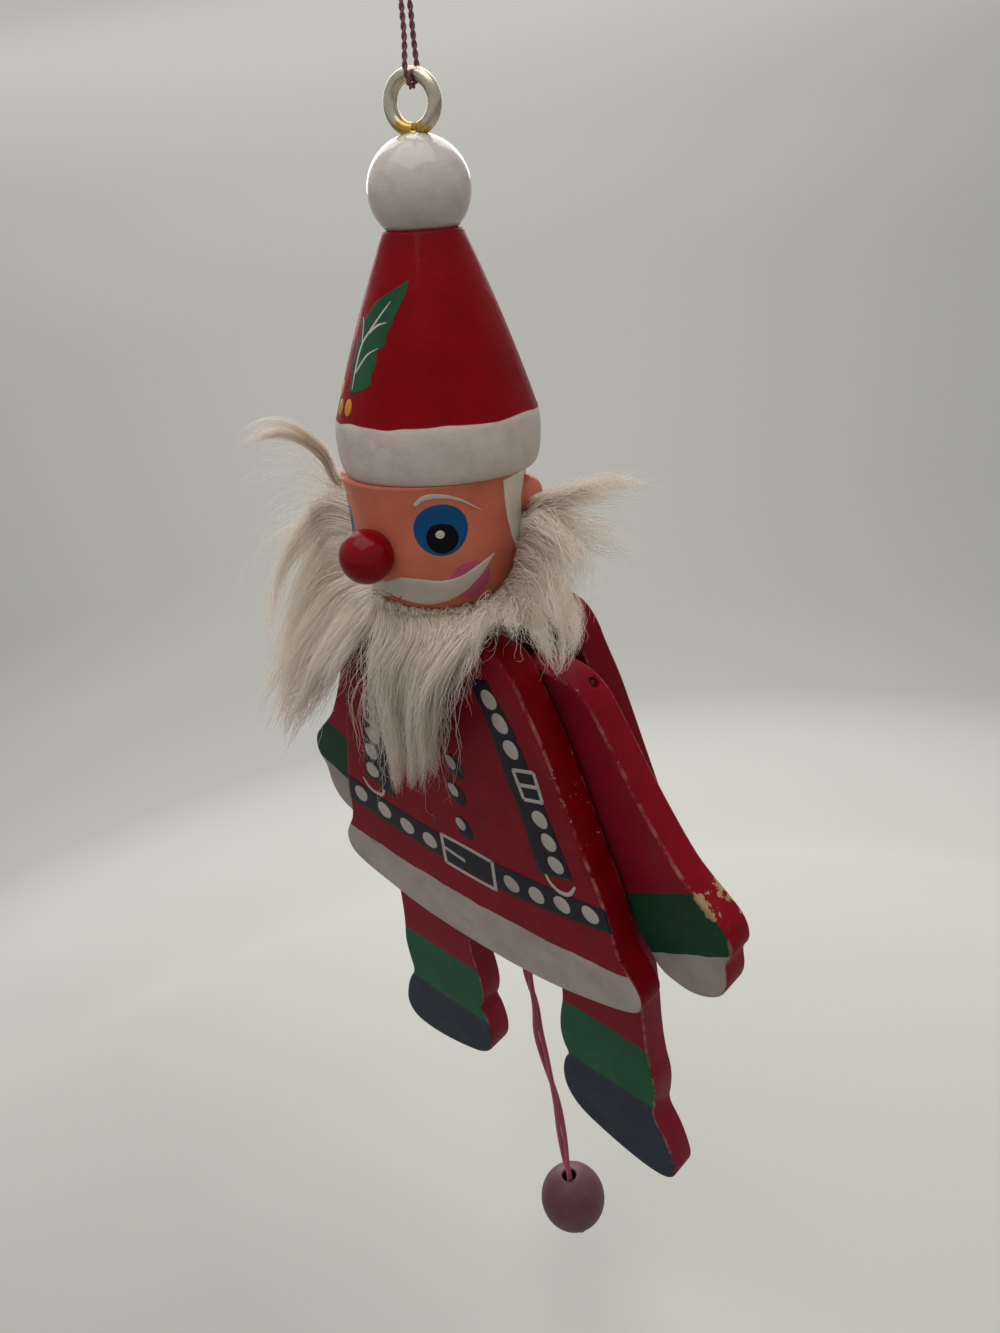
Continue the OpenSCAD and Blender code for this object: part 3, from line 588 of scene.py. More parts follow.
def drilled(piece, layOut, limb):
    # bores for the string and the peg, cut with two bars
    size = (limb["width"], 1, limb["reach"])
    a, b = [np.array([x, figure["midY"], z]) * size for x, z in (limb["holeIn"], limb["holeOut"])]
    way = (b - a) / np.linalg.norm(b - a)
    bars = [(a - 3 * way, b + 3 * way, stringHole["radius"], (0, 1, 0)),
            ((0, 5, 0), (0, 15, 0), stringHole["bore"], (0, 0, 1))]
    for start, end, radius, aside in bars:
        shape, _ = tube(layOut(np.linspace(start, end, 4)), radius * mm, aside, 24)
        mesh = bpy.data.meshes.new("drill")
        mesh.from_pydata(shape[0].tolist(), [], [row for f in shape[1] for row in f.tolist()])
        mesh.materials.append(piece.data.materials[0])
        drill = bpy.data.objects.new("drill", mesh)
        bpy.context.scene.collection.objects.link(drill)
        cut = piece.modifiers.new("bore", "BOOLEAN")
        cut.operation, cut.solver, cut.object = "DIFFERENCE", "EXACT", drill
        bpy.context.view_layer.update()
        result = bpy.data.meshes.new_from_object(piece.evaluated_get(bpy.context.evaluated_depsgraph_get()))
        piece.modifiers.clear()
        old = piece.data
        piece.data = result
        result.name = piece.name
        bpy.data.meshes.remove(old)
        bpy.data.objects.remove(drill)
        bpy.data.meshes.remove(mesh)


for side in (1, -1):
    for kind, limb in limbs.items():
        body = kind + "_" + sideNames[side]
        turn = limb["turn"][side]
        peg = (side * limb["pegX"], 0, limb["pegZ"][side])

        def layOut(p):
            # mirrored for the left, turned in the figure's plane, moved to its peg
            return onFigure((p * (side, 1, 1)) @ turnMatrix("y", turn).T + peg)
        outline = rounded(np.array(limb["shares"]) * (limb["width"], limb["reach"]))
        shape, values = plate(outline, figure["limbY"], limb["edgeR"], layOut, 0.5, limb["worn"][side])
        paint = woodWithPaint(kind + "Paint" + sideNames[side].title(),
                              list(zip(limb["bands"][side], limb["colours"])), limb["side"], (peg, turn),
                              limb["wobble"])
        piece = makePiece(body + "_wood", shape, paint, body, [body], values, flat=(1, 2))
        drilled(piece, layOut, limb)
print("arms and legs made")


# Painted trim: films of paint that follow what they are painted on
def faceRadius(h):
    # below the cheeks a rounded chin, above them a slow flare towards the hat
    h = np.clip(h, 0, 25.1)
    chin = 14.4 * np.maximum(1 - np.maximum(1 - h / 15.2, 0) ** 2.2, 0) ** (1 / 2.2)
    return np.where(h > 15.2, 14.4 + 1.1 * ((h - 15.2) / 9.9) ** 2, chin)


hat = {"brimR": 16.8, "brimH": 9.8, "coneR": 16.3, "topR": 6.3, "coneH": 27.6, "bulge": 0.4, "seatZ": 25.1,
       "brimShares": [(0.88, 0), (0.925, 0.02), (0.965, 0.14), (0.99, 0.35), (1.0, 0.62), (0.995, 0.85),
                      (0.98, 0.96)]}
brimProfile = evenly(smoothPath(np.array(hat["brimShares"]) * (hat["brimR"], hat["brimH"]), 60), 40)[0]
s = np.linspace(0, 1, 50)
coneProfile = np.stack([hat["coneR"] + (hat["topR"] - hat["coneR"]) * s + 4 * hat["bulge"] * s * (1 - s),
                        hat["brimH"] + hat["coneH"] * s], 1)
hatProfile = np.concatenate([brimProfile, coneProfile])


def hatRadius(h):
    return np.interp(h - hat["seatZ"], hatProfile[:, 1], hatProfile[:, 0])


def onTurned(radius, reference, place):
    # x mm round the turned surface at the reference radius and h up its axis, lifted along its normal
    def layOut(x, h, up):
        a = x / reference
        slope = (radius(h + 0.05) - radius(h - 0.05)) / 0.1
        size = np.sqrt(1 + slope ** 2)
        r = radius(h) + up / size
        return place(np.stack([r * np.sin(a), -r * np.cos(a), h - up * slope / size], -1))
    return layOut


beltLine = 27.4


def onTunic(x, z, up):
    # on the front board's face, lifted towards the viewer; heights are from the belt line
    return onFigure(np.stack([x, -up, z + beltLine], -1))


paintFace = onTurned(faceRadius, 14.4, onFace)
paintHat = onTurned(hatRadius, 16.3, onHead)
degreesToMm = {"face": 14.4 * np.pi / 180, "hat": 16.3 * np.pi / 180}


def stroke(layOut, places, widths, lift=0.06, base=0.0, count=None, shake=0.06):
    # a brush stroke: a flat tube along the path whose half width is widths and whose top bulges by lift
    sides = 14
    count = count or max(16, len(places) * 12)
    path = evenly(smoothPath(places, count), count)[0]
    half = np.interp(np.linspace(0, 1, count), np.linspace(0, 1, len(widths)), widths) / 2
    wave = np.interp(np.arange(count), np.linspace(0, count, 12), dice.uniform(-1, 1, 12)) * shake
    half = np.maximum(half + wave * np.minimum(1, half), 0.02)
    tangent = np.gradient(path, axis=0)
    tangent /= np.linalg.norm(tangent, axis=1)[:, None]
    across = np.stack([-tangent[:, 1], tangent[:, 0]], 1)
    a = np.linspace(0, 2 * np.pi, sides, endpoint=False)
    reach, rise = np.sign(np.cos(a)) * np.abs(np.cos(a)) ** 0.5, np.sin(a)
    up = base + np.where(rise > 0, lift * np.abs(rise) ** 0.6, -0.05 * np.abs(rise))
    flat = path[:, None] + across[:, None] * (half[:, None] * reach)[:, :, None]
    points = layOut(flat[:, :, 0], flat[:, :, 1], np.broadcast_to(up, (count, sides))).reshape(-1, 3)
    tips = layOut(path[[0, -1], 0], path[[0, -1], 1], np.full(2, base))
    return outward(np.concatenate([points, tips]), [gridFaces(count, sides), endFans(count * sides, sides)])


def dab(layOut, outline, lift=0.08, base=0.0, count=48):
    # a blob of paint: rings of the outline shrunk to its middle, domed by 1 - s ** 4, on a flat back
    loop = evenly(np.concatenate([outline, outline[:1]]), count + 1)[0][:-1]
    middle = loop.mean(0)
    shrink = np.array([0.97, 1, 0.97, 0.88, 0.6, 0.3])
    up = base + lift * (1 - shrink ** 4)
    up[0] = base - 0.05
    rings = middle + (loop - middle) * shrink[:, None, None]
    points = layOut(rings[:, :, 0], rings[:, :, 1], np.broadcast_to(up[:, None], (6, count)))
    tips = layOut(np.full(2, middle[0]), np.full(2, middle[1]), np.array([base - 0.05, base + lift]))
    points = np.concatenate([points.reshape(-1, 3), tips])
    return outward(points, [gridFaces(6, count), endFans(6 * count, count)])


def oval(x, z, rx, rz, tilt=0.0, count=40, shake=0.04):
    # an ellipse with a little unevenness: radius times 1 + shake * slow waves
    a = np.linspace(0, 2 * np.pi, count, endpoint=False)
    r = 1 + shake * (np.sin(2 * a + dice.uniform(0, 6)) + 0.6 * np.sin(3 * a + dice.uniform(0, 6)))
    c, s = np.cos(np.radians(tilt)), np.sin(np.radians(tilt))
    px, pz = rx * r * np.cos(a), rz * r * np.sin(a)
    return np.stack([x + px * c - pz * s, z + px * s + pz * c], 1)


print("trim tools ready")
lines = (0.6, 0.6, 0.6)
navyPaint = enamelMaterial("navyTrimPaint", "#1c1c27", lines, 0.03, 0.1, 0.3, 0.1)
whitePaint = enamelMaterial("whiteTrimPaint", "#b6afab", lines, 0.04, 0.1, 0.4, 0.1, 0.25)

# Belt and braces on the tunic
beltMiddle = [(-33.9, 0.7), (-26, -0.7), (-17, -1.95), (-7, -2.7), (0, -2.8), (7, -2.65), (17, -1.8),
              (26, -0.6), (34.4, 0.8)]
braceMiddle = [(11.9, 44.6), (12.9, 41.5), (15.2, 36), (17.3, 28.2), (20.2, 18), (22.2, 9), (23.2, 5.6)]
shapes = [stroke(onTunic, beltMiddle, [7.2, 6.9, 6.7, 7.0, 7.0, 7.0, 6.8, 6.7, 6.2, 5.6], 0.05, count=120)]
for side in (1, -1):
    path = np.array(braceMiddle) * (side, 1)
    shapes.append(stroke(onTunic, path, [4.6, 5.8, 6.4, 7.3, 7.3, 8.0, 8.6], 0.05, count=90))
makePiece("belt_and_braces", joined(shapes), navyPaint, "figure")

# White trim: dots as (x, height, radius), the belt buckle's five strokes, the braces' buckles and hooks
dots = [(s * x, z, 1.95) for s in (1, -1) for x, z in ((10.9, -2.8), (17.2, -2.2), (23.5, -1.0), (30.2, 0.3))]
dots += [(13.7, 41.1, 1.85), (15.4, 36.8, 1.9), (17, 31.9, 1.85), (21.3, 18.3, 1.85), (22.6, 13.6, 1.85),
         (23.5, 8.7, 1.85), (-13.7, 41.1, 1.8), (-15.4, 36.8, 1.85), (-17, 31.9, 1.85), (-21.3, 19.1, 1.85),
         (-23.1, 14.4, 1.85), (-24.2, 9.2, 1.85)]
shapes = [dab(onTunic, oval(x, z, r * 0.97, r * 1.04, dice.uniform(-30, 30)), 0.12, 0.05) for x, z, r in dots]
shapes += [stroke(onTunic, places, [0.85] * 2, 0.08, 0.05, 16) for places in (
    [(-6.8, 0.9), (0, 0.8), (6.6, 0.5)], [(6.6, 0.7), (6.4, -3), (6.2, -7.0)],
    [(6.3, -6.9), (0, -6.9), (-7.1, -6.6)], [(-7.1, -6.8), (-7, -3), (-6.8, 1.0)],
    [(-6.8, -2.4), (-4, -2.9), (-1.2, -3.3)])]
for rim in ([(16.7, 27.4), (21.6, 28.9), (22.7, 22.8), (18.2, 21.5)],
            [(-16.4, 27.4), (-21.3, 28.9), (-22.4, 22.8), (-17.9, 21.5)]):
    rim = np.array(rim)
    middles = (rim + rim[::-1]) / 2
    for a, b in [*zip(rim, np.roll(rim, -1, 0)), middles[:2]]:
        shapes.append(stroke(onTunic, [a, b], [0.8] * 2, 0.08, 0.05, 14))
for arc in ([(20.6, 5.0), (21.6, 3.2), (23.6, 2.2), (25.8, 2.9), (27.5, 5.6)],
            [(-27.9, 5.8), (-26.8, 3.9), (-25.1, 3.1), (-23, 3.4), (-21.8, 5.2)]):
    shapes.append(stroke(onTunic, arc, [0.5, 0.9, 1.0, 0.8, 0.5], 0.08, 0.05))
buttons = [(0.9, 21.5), (0, 14.6), (0.1, 6.2)]
shapes += [dab(onTunic, oval(x - 0.4, z + 0.5, 1.2, 1.55, 20), 0.1, 0.06) for x, z in buttons]
makePiece("white_trim", joined(shapes), whitePaint, "figure")
shapes = [dab(onTunic, oval(x + 0.3, z - 0.2, 2.2, 2.9, 15), 0.06) for x, z in buttons]
makePiece("button_rims", joined(shapes), navyPaint, "figure")
print("trim on the tunic painted")

# Head: turned wood under glossy flesh-coloured enamel
skinPaint = enamelMaterial("fleshEnamel", "#c66e56", (1, 1, 0.3), 0.05, 0.1, 0.35, 0.2)
h = np.concatenate([15.2 * (1 - np.cos(np.linspace(0.06, np.pi / 2, 46))), np.linspace(15.2, 25.1, 24)[1:]])
headShape, _ = lathe(np.stack([faceRadius(h), h], 1), 160, onFace)
makePiece("head_turned", headShape, skinPaint, "figure", ["head"])
ball = {"noseR": 4.45, "noseH": 14, "noseOut": 0.6, "earR": 3.2, "earH": 20, "earTurn": 127, "earCut": 0.35}


def ballOnFace(radius, height, turn, out, cut=0.75):
    # a ball whose back is cut flat, its middle out from the face's surface
    a = np.linspace(-np.pi / 2 * cut, np.pi / 2, 40)[:-1]
    profile = np.stack([radius * np.cos(a), radius * np.sin(a)], 1)
    at = faceRadius(height) + out * radius

    def layOut(p):
        q = np.stack([p[:, 0], -p[:, 2] - at, p[:, 1]], 1)
        return onFace(q @ turnMatrix("z", turn).T + (0, 0, height))
    return lathe(profile, 96, layOut)[0]


nosePaint = enamelMaterial("redNoseEnamel", "#7c0110", (1, 1, 0.5), 0.04, 0.1, 0.22, 0.22)
makePiece("nose_ball", ballOnFace(ball["noseR"], ball["noseH"], 0, ball["noseOut"]), nosePaint, "figure",
          ["nose"])
for side, name in sideNames.items():
    shape = ballOnFace(ball["earR"], ball["earH"], side * ball["earTurn"], 0, ball["earCut"])
    makePiece("ear_ball_" + name, shape, skinPaint, "figure", ["ear_" + name])

# Features painted on the face: places are (degrees from the nose to the viewer's right, mm above the chin)
k = degreesToMm["face"]
bluePaint = enamelMaterial("blueEyeEnamel", "#0f4f7e", lines, 0.02, 0.08, 0.3, 0.15)
darkPaint = enamelMaterial("darkPupilEnamel", "#0a0811", lines, 0.02, 0.05, 0.3, 0.12)
featureWhite = enamelMaterial("whiteFaceEnamel", "#c4bab0", lines, 0.05, 0.08, 0.35, 0.2, 0.15)
burnsWhite = enamelMaterial("whiteSideburnEnamel", "#e2d8cc", lines, 0.05, 0.05, 0.35, 0.2)
eye = {"turn": 45.6, "up": 18.0}
# an eye's discs, the lowest first: how far right and down of its middle, radius, points, shake, lift, base
discs = [("blue", 0, 0, 4.3, 64, 0.012, 0.06, 0), ("dark", 0.1, 1.35, 2.55, 48, 0.015, 0.06, 0.05),
         ("white", -0.2, 0.72, 0.72, 24, 0.04, 0.07, 0.1)]
shapes = {"blue": [], "dark": [], "white": [], "burns": []}
for side in (1, -1):
    for kind, right, down, r, count, shake, lift, base in discs:
        outline = oval(side * eye["turn"] * k + right, eye["up"] - down, r, r, 0, count, shake)
        shapes[kind].append(dab(paintFace, outline, lift, base, count))
makePiece("eye_blues", joined(shapes["blue"]), bluePaint, "figure")
makePiece("eye_pupils", joined(shapes["dark"]), darkPaint, "figure")
moustache = [(0, 7.4), (14, 7.6), (29, 7.25), (44, 7.3), (57, 8.3), (68, 10.1), (81.2, 12.7)]
for side in (1, -1):
    half = [(side * t * k, h) for t, h in moustache]
    shapes["white"].append(stroke(paintFace, half, [2.9, 4.9, 5.2, 4.3, 3.2, 2.0, 0.15], 0.12, 0, 80, 0.03))
brow = [(30.6, 22.2), (37.1, 23.4), (47.4, 23.5), (58.4, 22.6), (72.7, 20.3)]
burn = [(103, 24.9), (105, 21.5), (106.3, 18), (107.8, 14.5), (110.4, 10.6)]
for side in (1, -1):
    for kind, places, widths, lift, shake in (("white", brow, [0.6, 0.9, 0.55, 0.3, 0.1], 0.12, 0.04),
                                              ("burns", burn, [7.2, 6.7, 5.7, 3.9, 0.4], 0.1, 0.06)):
        path = [(side * t * k, h) for t, h in places]
        shapes[kind].append(stroke(paintFace, path, widths, lift, 0, 60, shake))
makePiece("white_features", joined(shapes["white"]), featureWhite, "figure")
makePiece("white_sideburns", joined(shapes["burns"]), burnsWhite, "figure")

# Cheeks: pink rubbed thinly over the flesh colour
pinkPaint = enamelMaterial("pinkCheekPaint", "#bc5474", lines, 0.03, 0.12, 0.35, 0.15)
shapes = [dab(paintFace, oval(side * 64.2 * k, 8.9, 3.75, 3.4, 0, 56, 0.03), 0.035) for side in (1, -1)]
makePiece("cheeks", joined(shapes), pinkPaint, "figure")
linePaint = enamelMaterial("brownLinePaint", "#712a21", lines, 0.02, 0.1, 0.4, 0.3)
chinLine = [(t * k, h) for t, h in ((-40, 4.6), (-20, 3.7), (0, 3.35), (20, 2.9), (45, 2.7), (70, 3.0))]
makePiece("fine_lines", joined([
    stroke(paintFace, chinLine, [0.15, 0.4, 0.45, 0.4, 0.3, 0.15], 0.05),
    stroke(paintFace, [(-11.5 * k, 6.9), (-3 * k, 6.3), (3 * k, 5.8)], [0.12, 0.22, 0.1], 0.05, 0.1),
    stroke(paintFace, [(4 * k, 5.4), (7 * k, 5.9), (10.5 * k, 6.5)], [0.1, 0.2, 0.1], 0.05, 0.1)]),
          linePaint, "figure")
print("head and face made")

# Hat: turned cone and brim in one, red above a wavy hand-painted edge and white below
hatPaint = startMaterial("hatEnamel")
place = placeOf()
waver = fade(noiseOf(place, 9.0, 1.0), 0.3, 0.7, -0.45, 0.45)
isRed = fade(plus(attributeOf("height"), waver), 9.15, 9.3)
red = toned(place, "#7d010d", 7.0, 0.12)
# painted highlight: the cone's red turns paler and hazier towards its top, where the light from above falls
# on it
red = over(fade(attributeOf("height"), 20, 37, 0.0, 0.3), red, "#8a1522")
white = toned(place, "#c8bcb3", 5.0, 0.06)
smudge = fade(noiseOf(place, 3.5, 5.0, 0.7), 0.5, 0.78, 0.0, 0.5)
white = over(smudge, white, "#a2978e")
swell = times(noiseOf(place, 4.2, 1.5), 3.2)
relief = plus(swell, brushLines(place, (0.5, 0.5, 1), 0.6, 3.0))
finishMaterial({"Base Color": over(isRed, white, red), "Roughness": 0.35,
                "Specular IOR Level": 0.04, "Coat Weight": 0.1, "Coat Roughness": 0.09}, relief, 0.06)
hatShape, hatValues = lathe(hatProfile, 180, lambda p: onHead(p + (0, 0, hat["seatZ"])))
makePiece("hat_turned", hatShape, hatPaint, "figure", ["hat"], hatValues)

# Ball on the hat: white enamel with dark specks and dragged brush lines
pompom = {"r": 8.1, "cut": 2.3, "seatZ": 62.5}
rise = pompom["r"] - pompom["cut"]
a = np.linspace(-np.arcsin(rise / pompom["r"]), np.pi / 2, 64)[:-1]
ballProfile = np.stack([pompom["r"] * np.cos(a), pompom["seatZ"] + rise + pompom["r"] * np.sin(a)], 1)
pompomPaint = enamelMaterial("whiteBallEnamel", "#c7beb5", (0.35, 0.35, 1), 0.06, 0.06, 0.22, 0.8, 0.28, 0.16)
makePiece("hat_ball", lathe(ballProfile, 144, onHead)[0], pompomPaint, "figure", ["pompom"])

# Holly sprig on the cone: (degrees from the nose, mm above the chin)
k = degreesToMm["hat"]
leafGreen = enamelMaterial("greenLeafEnamel", "#214f34", (0.5, 0.5, 0.5), 0.03, 0.2, 0.35, 0.12)
berryPaint = enamelMaterial("yellowBerryEnamel", "#c78118", lines, 0.03, 0.08, 0.35, 0.4)
leafEdge = [(30.8, 55.6), (17.1, 54.4), (4, 53.3), (-5, 52.3), (-14.0, 50.3), (-20.5, 49.6), (-17.4, 47.7),
            (-20.9, 46.2), (-18.6, 44.7), (-23.0, 43.5), (-18.4, 41.7), (-16.5, 39.3), (-9.5, 39.1),
            (-2.4, 39.7), (4.6, 40.6), (4.3, 42.0), (7.1, 43.9), (6.2, 45.4), (13.2, 46.4), (13.4, 47.9),
            (17.0, 49.3), (18.7, 50.3), (23.4, 52.1), (27.4, 53.5)]
leafOutline = [(t * k, h) for t, h in leafEdge]
makePiece("holly_leaf", dab(paintHat, smoothPath(leafOutline + leafOutline[:1], 200)[:-1], 0.06, 0, 160),
          leafGreen, "figure")
veins = [([(14, 52.6), (5, 50.6), (-3.3, 48.5), (-11.5, 46.2), (-13.5, 42.6), (-13.2, 39.6)],
          [0.15, 0.4, 0.5, 0.55, 0.5, 0.2]),
         ([(12.5, 49.6), (4, 49.2), (-4, 48.1)], [0.1, 0.4, 0.4]),
         ([(-18.4, 50.2), (-15, 49.2), (-11.5, 46.6)], [0.1, 0.3, 0.3]),
         ([(7, 45.9), (-2.8, 44.8), (-12.5, 42.2)], [0.1, 0.4, 0.45])]
shapes = [stroke(paintHat, [(t * k, h) for t, h in places], widths, 0.05, 0.05) for places, widths in veins]
makePiece("leaf_veins", joined(shapes), featureWhite, "figure")
berries = [(-14.9, 36.9), (-33.0, 39.3), (-27.5, 36.6)]
shapes = [dab(paintHat, oval(t * k, h, 1.25, 1.3, 0, 32, 0.03), 0.14) for t, h in berries]
makePiece("berries", joined(shapes), berryPaint, "figure")
print("hat, ball and sprig made")

# Screw eye: bent wire, nickel plating that has worn to brass near its foot
screwEye = {"ringR": 3.9, "wire": 2.2, "opening": 16, "turn": 17, "sides": 40}
wireMetal = startMaterial("wornNickelWire")
place = placeOf()
patch = noiseOf(place, 1.6, 4.0, 0.6)
foot = plus(attributeOf("foot"), fade(patch, 0.3, 0.7, -0.25, 0.25))
metal = over(fade(foot, 0.45, 0.75), "#c9c1ae", "#c7a254")
metal = over(fade(patch, 0.5, 0.75, 0.0, 0.45), metal, "#857e70")
finishMaterial({"Base Color": metal, "Metallic": 1.0, "Roughness": 0.27}, noiseOf(place, 0.5, 3.0), 0.02)
a = np.radians(270 - np.linspace(360 - screwEye["opening"], 0, 120))
ring = np.stack([screwEye["ringR"] * np.cos(a), 0 * a, screwEye["ringR"] * np.sin(a)], 1)[::-1]
shank = np.stack([np.zeros(16), np.zeros(16), np.linspace(-screwEye["ringR"] - 0.15, -10, 16)], 1)
eyeTurn = turnMatrix("z", screwEye["turn"]).T
atEye = (0, 0, headLean["eyeUp"])
aside = np.array((0, 1, 0)) @ eyeTurn @ headTurn.T
shapes, feet = [], []
for line in (ring, shank):
    # "foot" is 0 down to 1.6 mm below the ring's middle and 1 from 3.8 mm on
    path = onHead(line @ eyeTurn + atEye)
    shapes.append(tube(path, screwEye["wire"] / 2 * mm, aside, screwEye["sides"])[0])
    low = np.concatenate([np.repeat(line[:, 2], screwEye["sides"]), line[[0, -1], 2]])
    feet.append(np.clip((-low - 1.6) / 2.2, 0, 1))
makePiece("screw_eye_wire", joined(shapes), wireMetal, "figure", ["screw_eye"],
          {"foot": np.concatenate(feet)})
print("screw eye made")

# Beard: faux fur of fine cream fibres in locks, sewn on a strip that is glued round the jaw
jaw = np.array([(-127, 20), (-117, 15.5), (-104, 9.5), (-85, 5.6), (-60, 3.9), (-30, 3.4), (0, 3.1),
                (30, 2.4), (60, 2.4), (80, 2.9), (97, 4.2), (106, 7.0), (110.5, 11.2), (117, 14.6),
                (124, 18.5)])


def jawPoint(turn, down=0.0, out=0.6):
    # a place on the strip, by its angle from the nose, in figure millimetres
    h = np.interp(turn, jaw[:, 0], jaw[:, 1]) - down
    r = faceRadius(np.maximum(h, 0.35)) + out
    p = np.stack([r * np.sin(np.radians(turn)), -r * np.cos(np.radians(turn)), h], -1)
    return onFace(p) / mm + figure["eyeCentre"]


# Where the fur goes from the strip, as places in figure millimetres, by the root's angle on the jaw
furGuides = {
    -127: [(-34, 16, 91), (-31, 12, 99), (-30, 9, 104), (-31, 6, 108), (-34, 4, 109), (-40, 3, 107),
           (-45, 2, 103)],
    -118: [(-34, 15, 89), (-34, 11, 95), (-36, 7, 97), (-42, 4, 94), (-48, 2, 94)],
    -106: [(-33, 12, 88), (-37, 8, 84), (-43, 5, 76), (-45, 1, 65), (-43, -2, 57), (-43, -4, 49)],
    -85: [(-28, 6, 77), (-35, 1, 68), (-40, -4, 57), (-44, -7, 47), (-48, -8, 38)],
    -60: [(-16, 0, 79), (-20, -4, 72), (-25, -7, 63), (-32, -8, 53), (-42, -8, 41)],
    -38: [(-8, -3, 80), (-12, -6, 76), (-15, -8, 72), (-19, -8, 67), (-23, -7, 62)],
    -22: [(-3, -4, 81), (-4, -7, 73), (-6, -7, 62), (-10, -6, 50), (-17, -4, 40)],
    -6: [(0, -4, 80), (-3, -7, 73), (-6, -7, 62), (-8, -6, 50), (-12, -4, 37)],
    10: [(3, -4, 80), (0, -7, 73), (-4, -7, 61), (-7, -6, 49), (-12, -4, 36)],
    38: [(8, -2, 81), (7, -6, 76), (4, -7, 68), (-1, -6, 55), (-7, -4, 41)],
    62: [(12, 0, 82), (12, -4, 80), (10, -7, 75), (6, -6, 66), (3, -5, 55), (0, -4, 46)],
    76: [(14, 2, 84), (17, -2, 85), (18, -5, 84), (16, -6, 81)],
    88: [(15, 5, 84), (20, 0, 87), (22, -3, 88)],
    96: [(16, 7, 85), (22, 2, 86), (27, -2, 86), (29, -3, 84)],
    103: [(15, 10, 86), (24, 4, 87), (29, 0, 86), (32, -3, 83)],
    109: [(15, 13, 91), (25, 8, 93), (32, 3, 92), (36, 0, 89), (35, -2, 84), (32, -3, 83)],
    114: [(15, 15, 94), (25, 10, 98), (35, 5, 98), (37, 2, 94), (37, 0, 90)],
    119: [(15, 17, 96), (25, 13, 100), (35, 9, 102), (42, 7, 102), (50, 5, 102)],
    124: [(16, 18, 98), (25, 14, 103), (35, 10, 108), (42, 7, 110), (48, 5, 111), (53, 4, 115)],
}
fur = {"thick": 0.1, "tip": 0.03, "steps": 24, "sides": 3}
# name: jaw angles it grows from, fibres, tufts, spread in a tuft and between tufts in millimetres, how far
# whole tufts bend, how much each fibre crimps, and the shortest fibre's share of the longest
furMasses = {
    "beard_left_wisp": ((-127, -122), 420, 4, 0.8, 0.5, 0.4, 0.5, 0.5),
    "beard_left_loose": ((-122, -105), 260, 60, 1.6, 3.0, 2.0, 1.5, 0.3),
    "beard_left": ((-108, -64), 1350, 20, 1.3, 2.6, 1.6, 1.3, 0.25),
    "beard_left_chin": ((-66, -36), 1250, 12, 1.1, 1.6, 1.4, 1.2, 0.25),
    "beard_middle": ((-30, 24), 1400, 7, 1.0, 1.2, 1.2, 1.1, 0.25),
    "beard_middle_right": ((20, 66), 1350, 8, 1.0, 1.2, 1.2, 1.1, 0.2),
    "beard_right_short": ((60, 100), 1250, 26, 1.1, 0.8, 1.2, 1.4, 0.4),
    "beard_right": ((98, 117), 1400, 12, 1.3, 1.7, 1.5, 1.3, 0.4),
    "beard_right_wisp": ((113, 125), 620, 12, 1.3, 2.3, 1.8, 1.4, 0.25),
    "beard_strays": ((-96, 112), 420, 300, 2.2, 3.0, 2.5, 2.2, 0.4),
}
# half the tunic's width, by the height above its hem
boardEdge = [(0, 30), (8, 40), (27, 34.5), (40, 31), (51, 28), (60, 25.5), (70, 21.5), (78, 14)]
guideAngles = np.array(list(furGuides), float)
guideGrid = np.stack([evenly(smoothPath(np.concatenate([jawPoint(np.array([float(turn)])), places]), 60),
                             fur["steps"])[0] for turn, places in furGuides.items()])


def guideAt(turns):
    # guides between two jaw angles are the straight mix of the two, step by step along their length
    k = np.clip(np.searchsorted(guideAngles, turns) - 1, 0, len(guideAngles) - 2)
    share = np.clip((turns - guideAngles[k]) / (guideAngles[k + 1] - guideAngles[k]), -0.2, 1.2)[..., None]
    step = np.broadcast_to(np.arange(fur["steps"]), turns.shape)
    return guideGrid[k, step] * (1 - share) + guideGrid[k + 1, step] * share


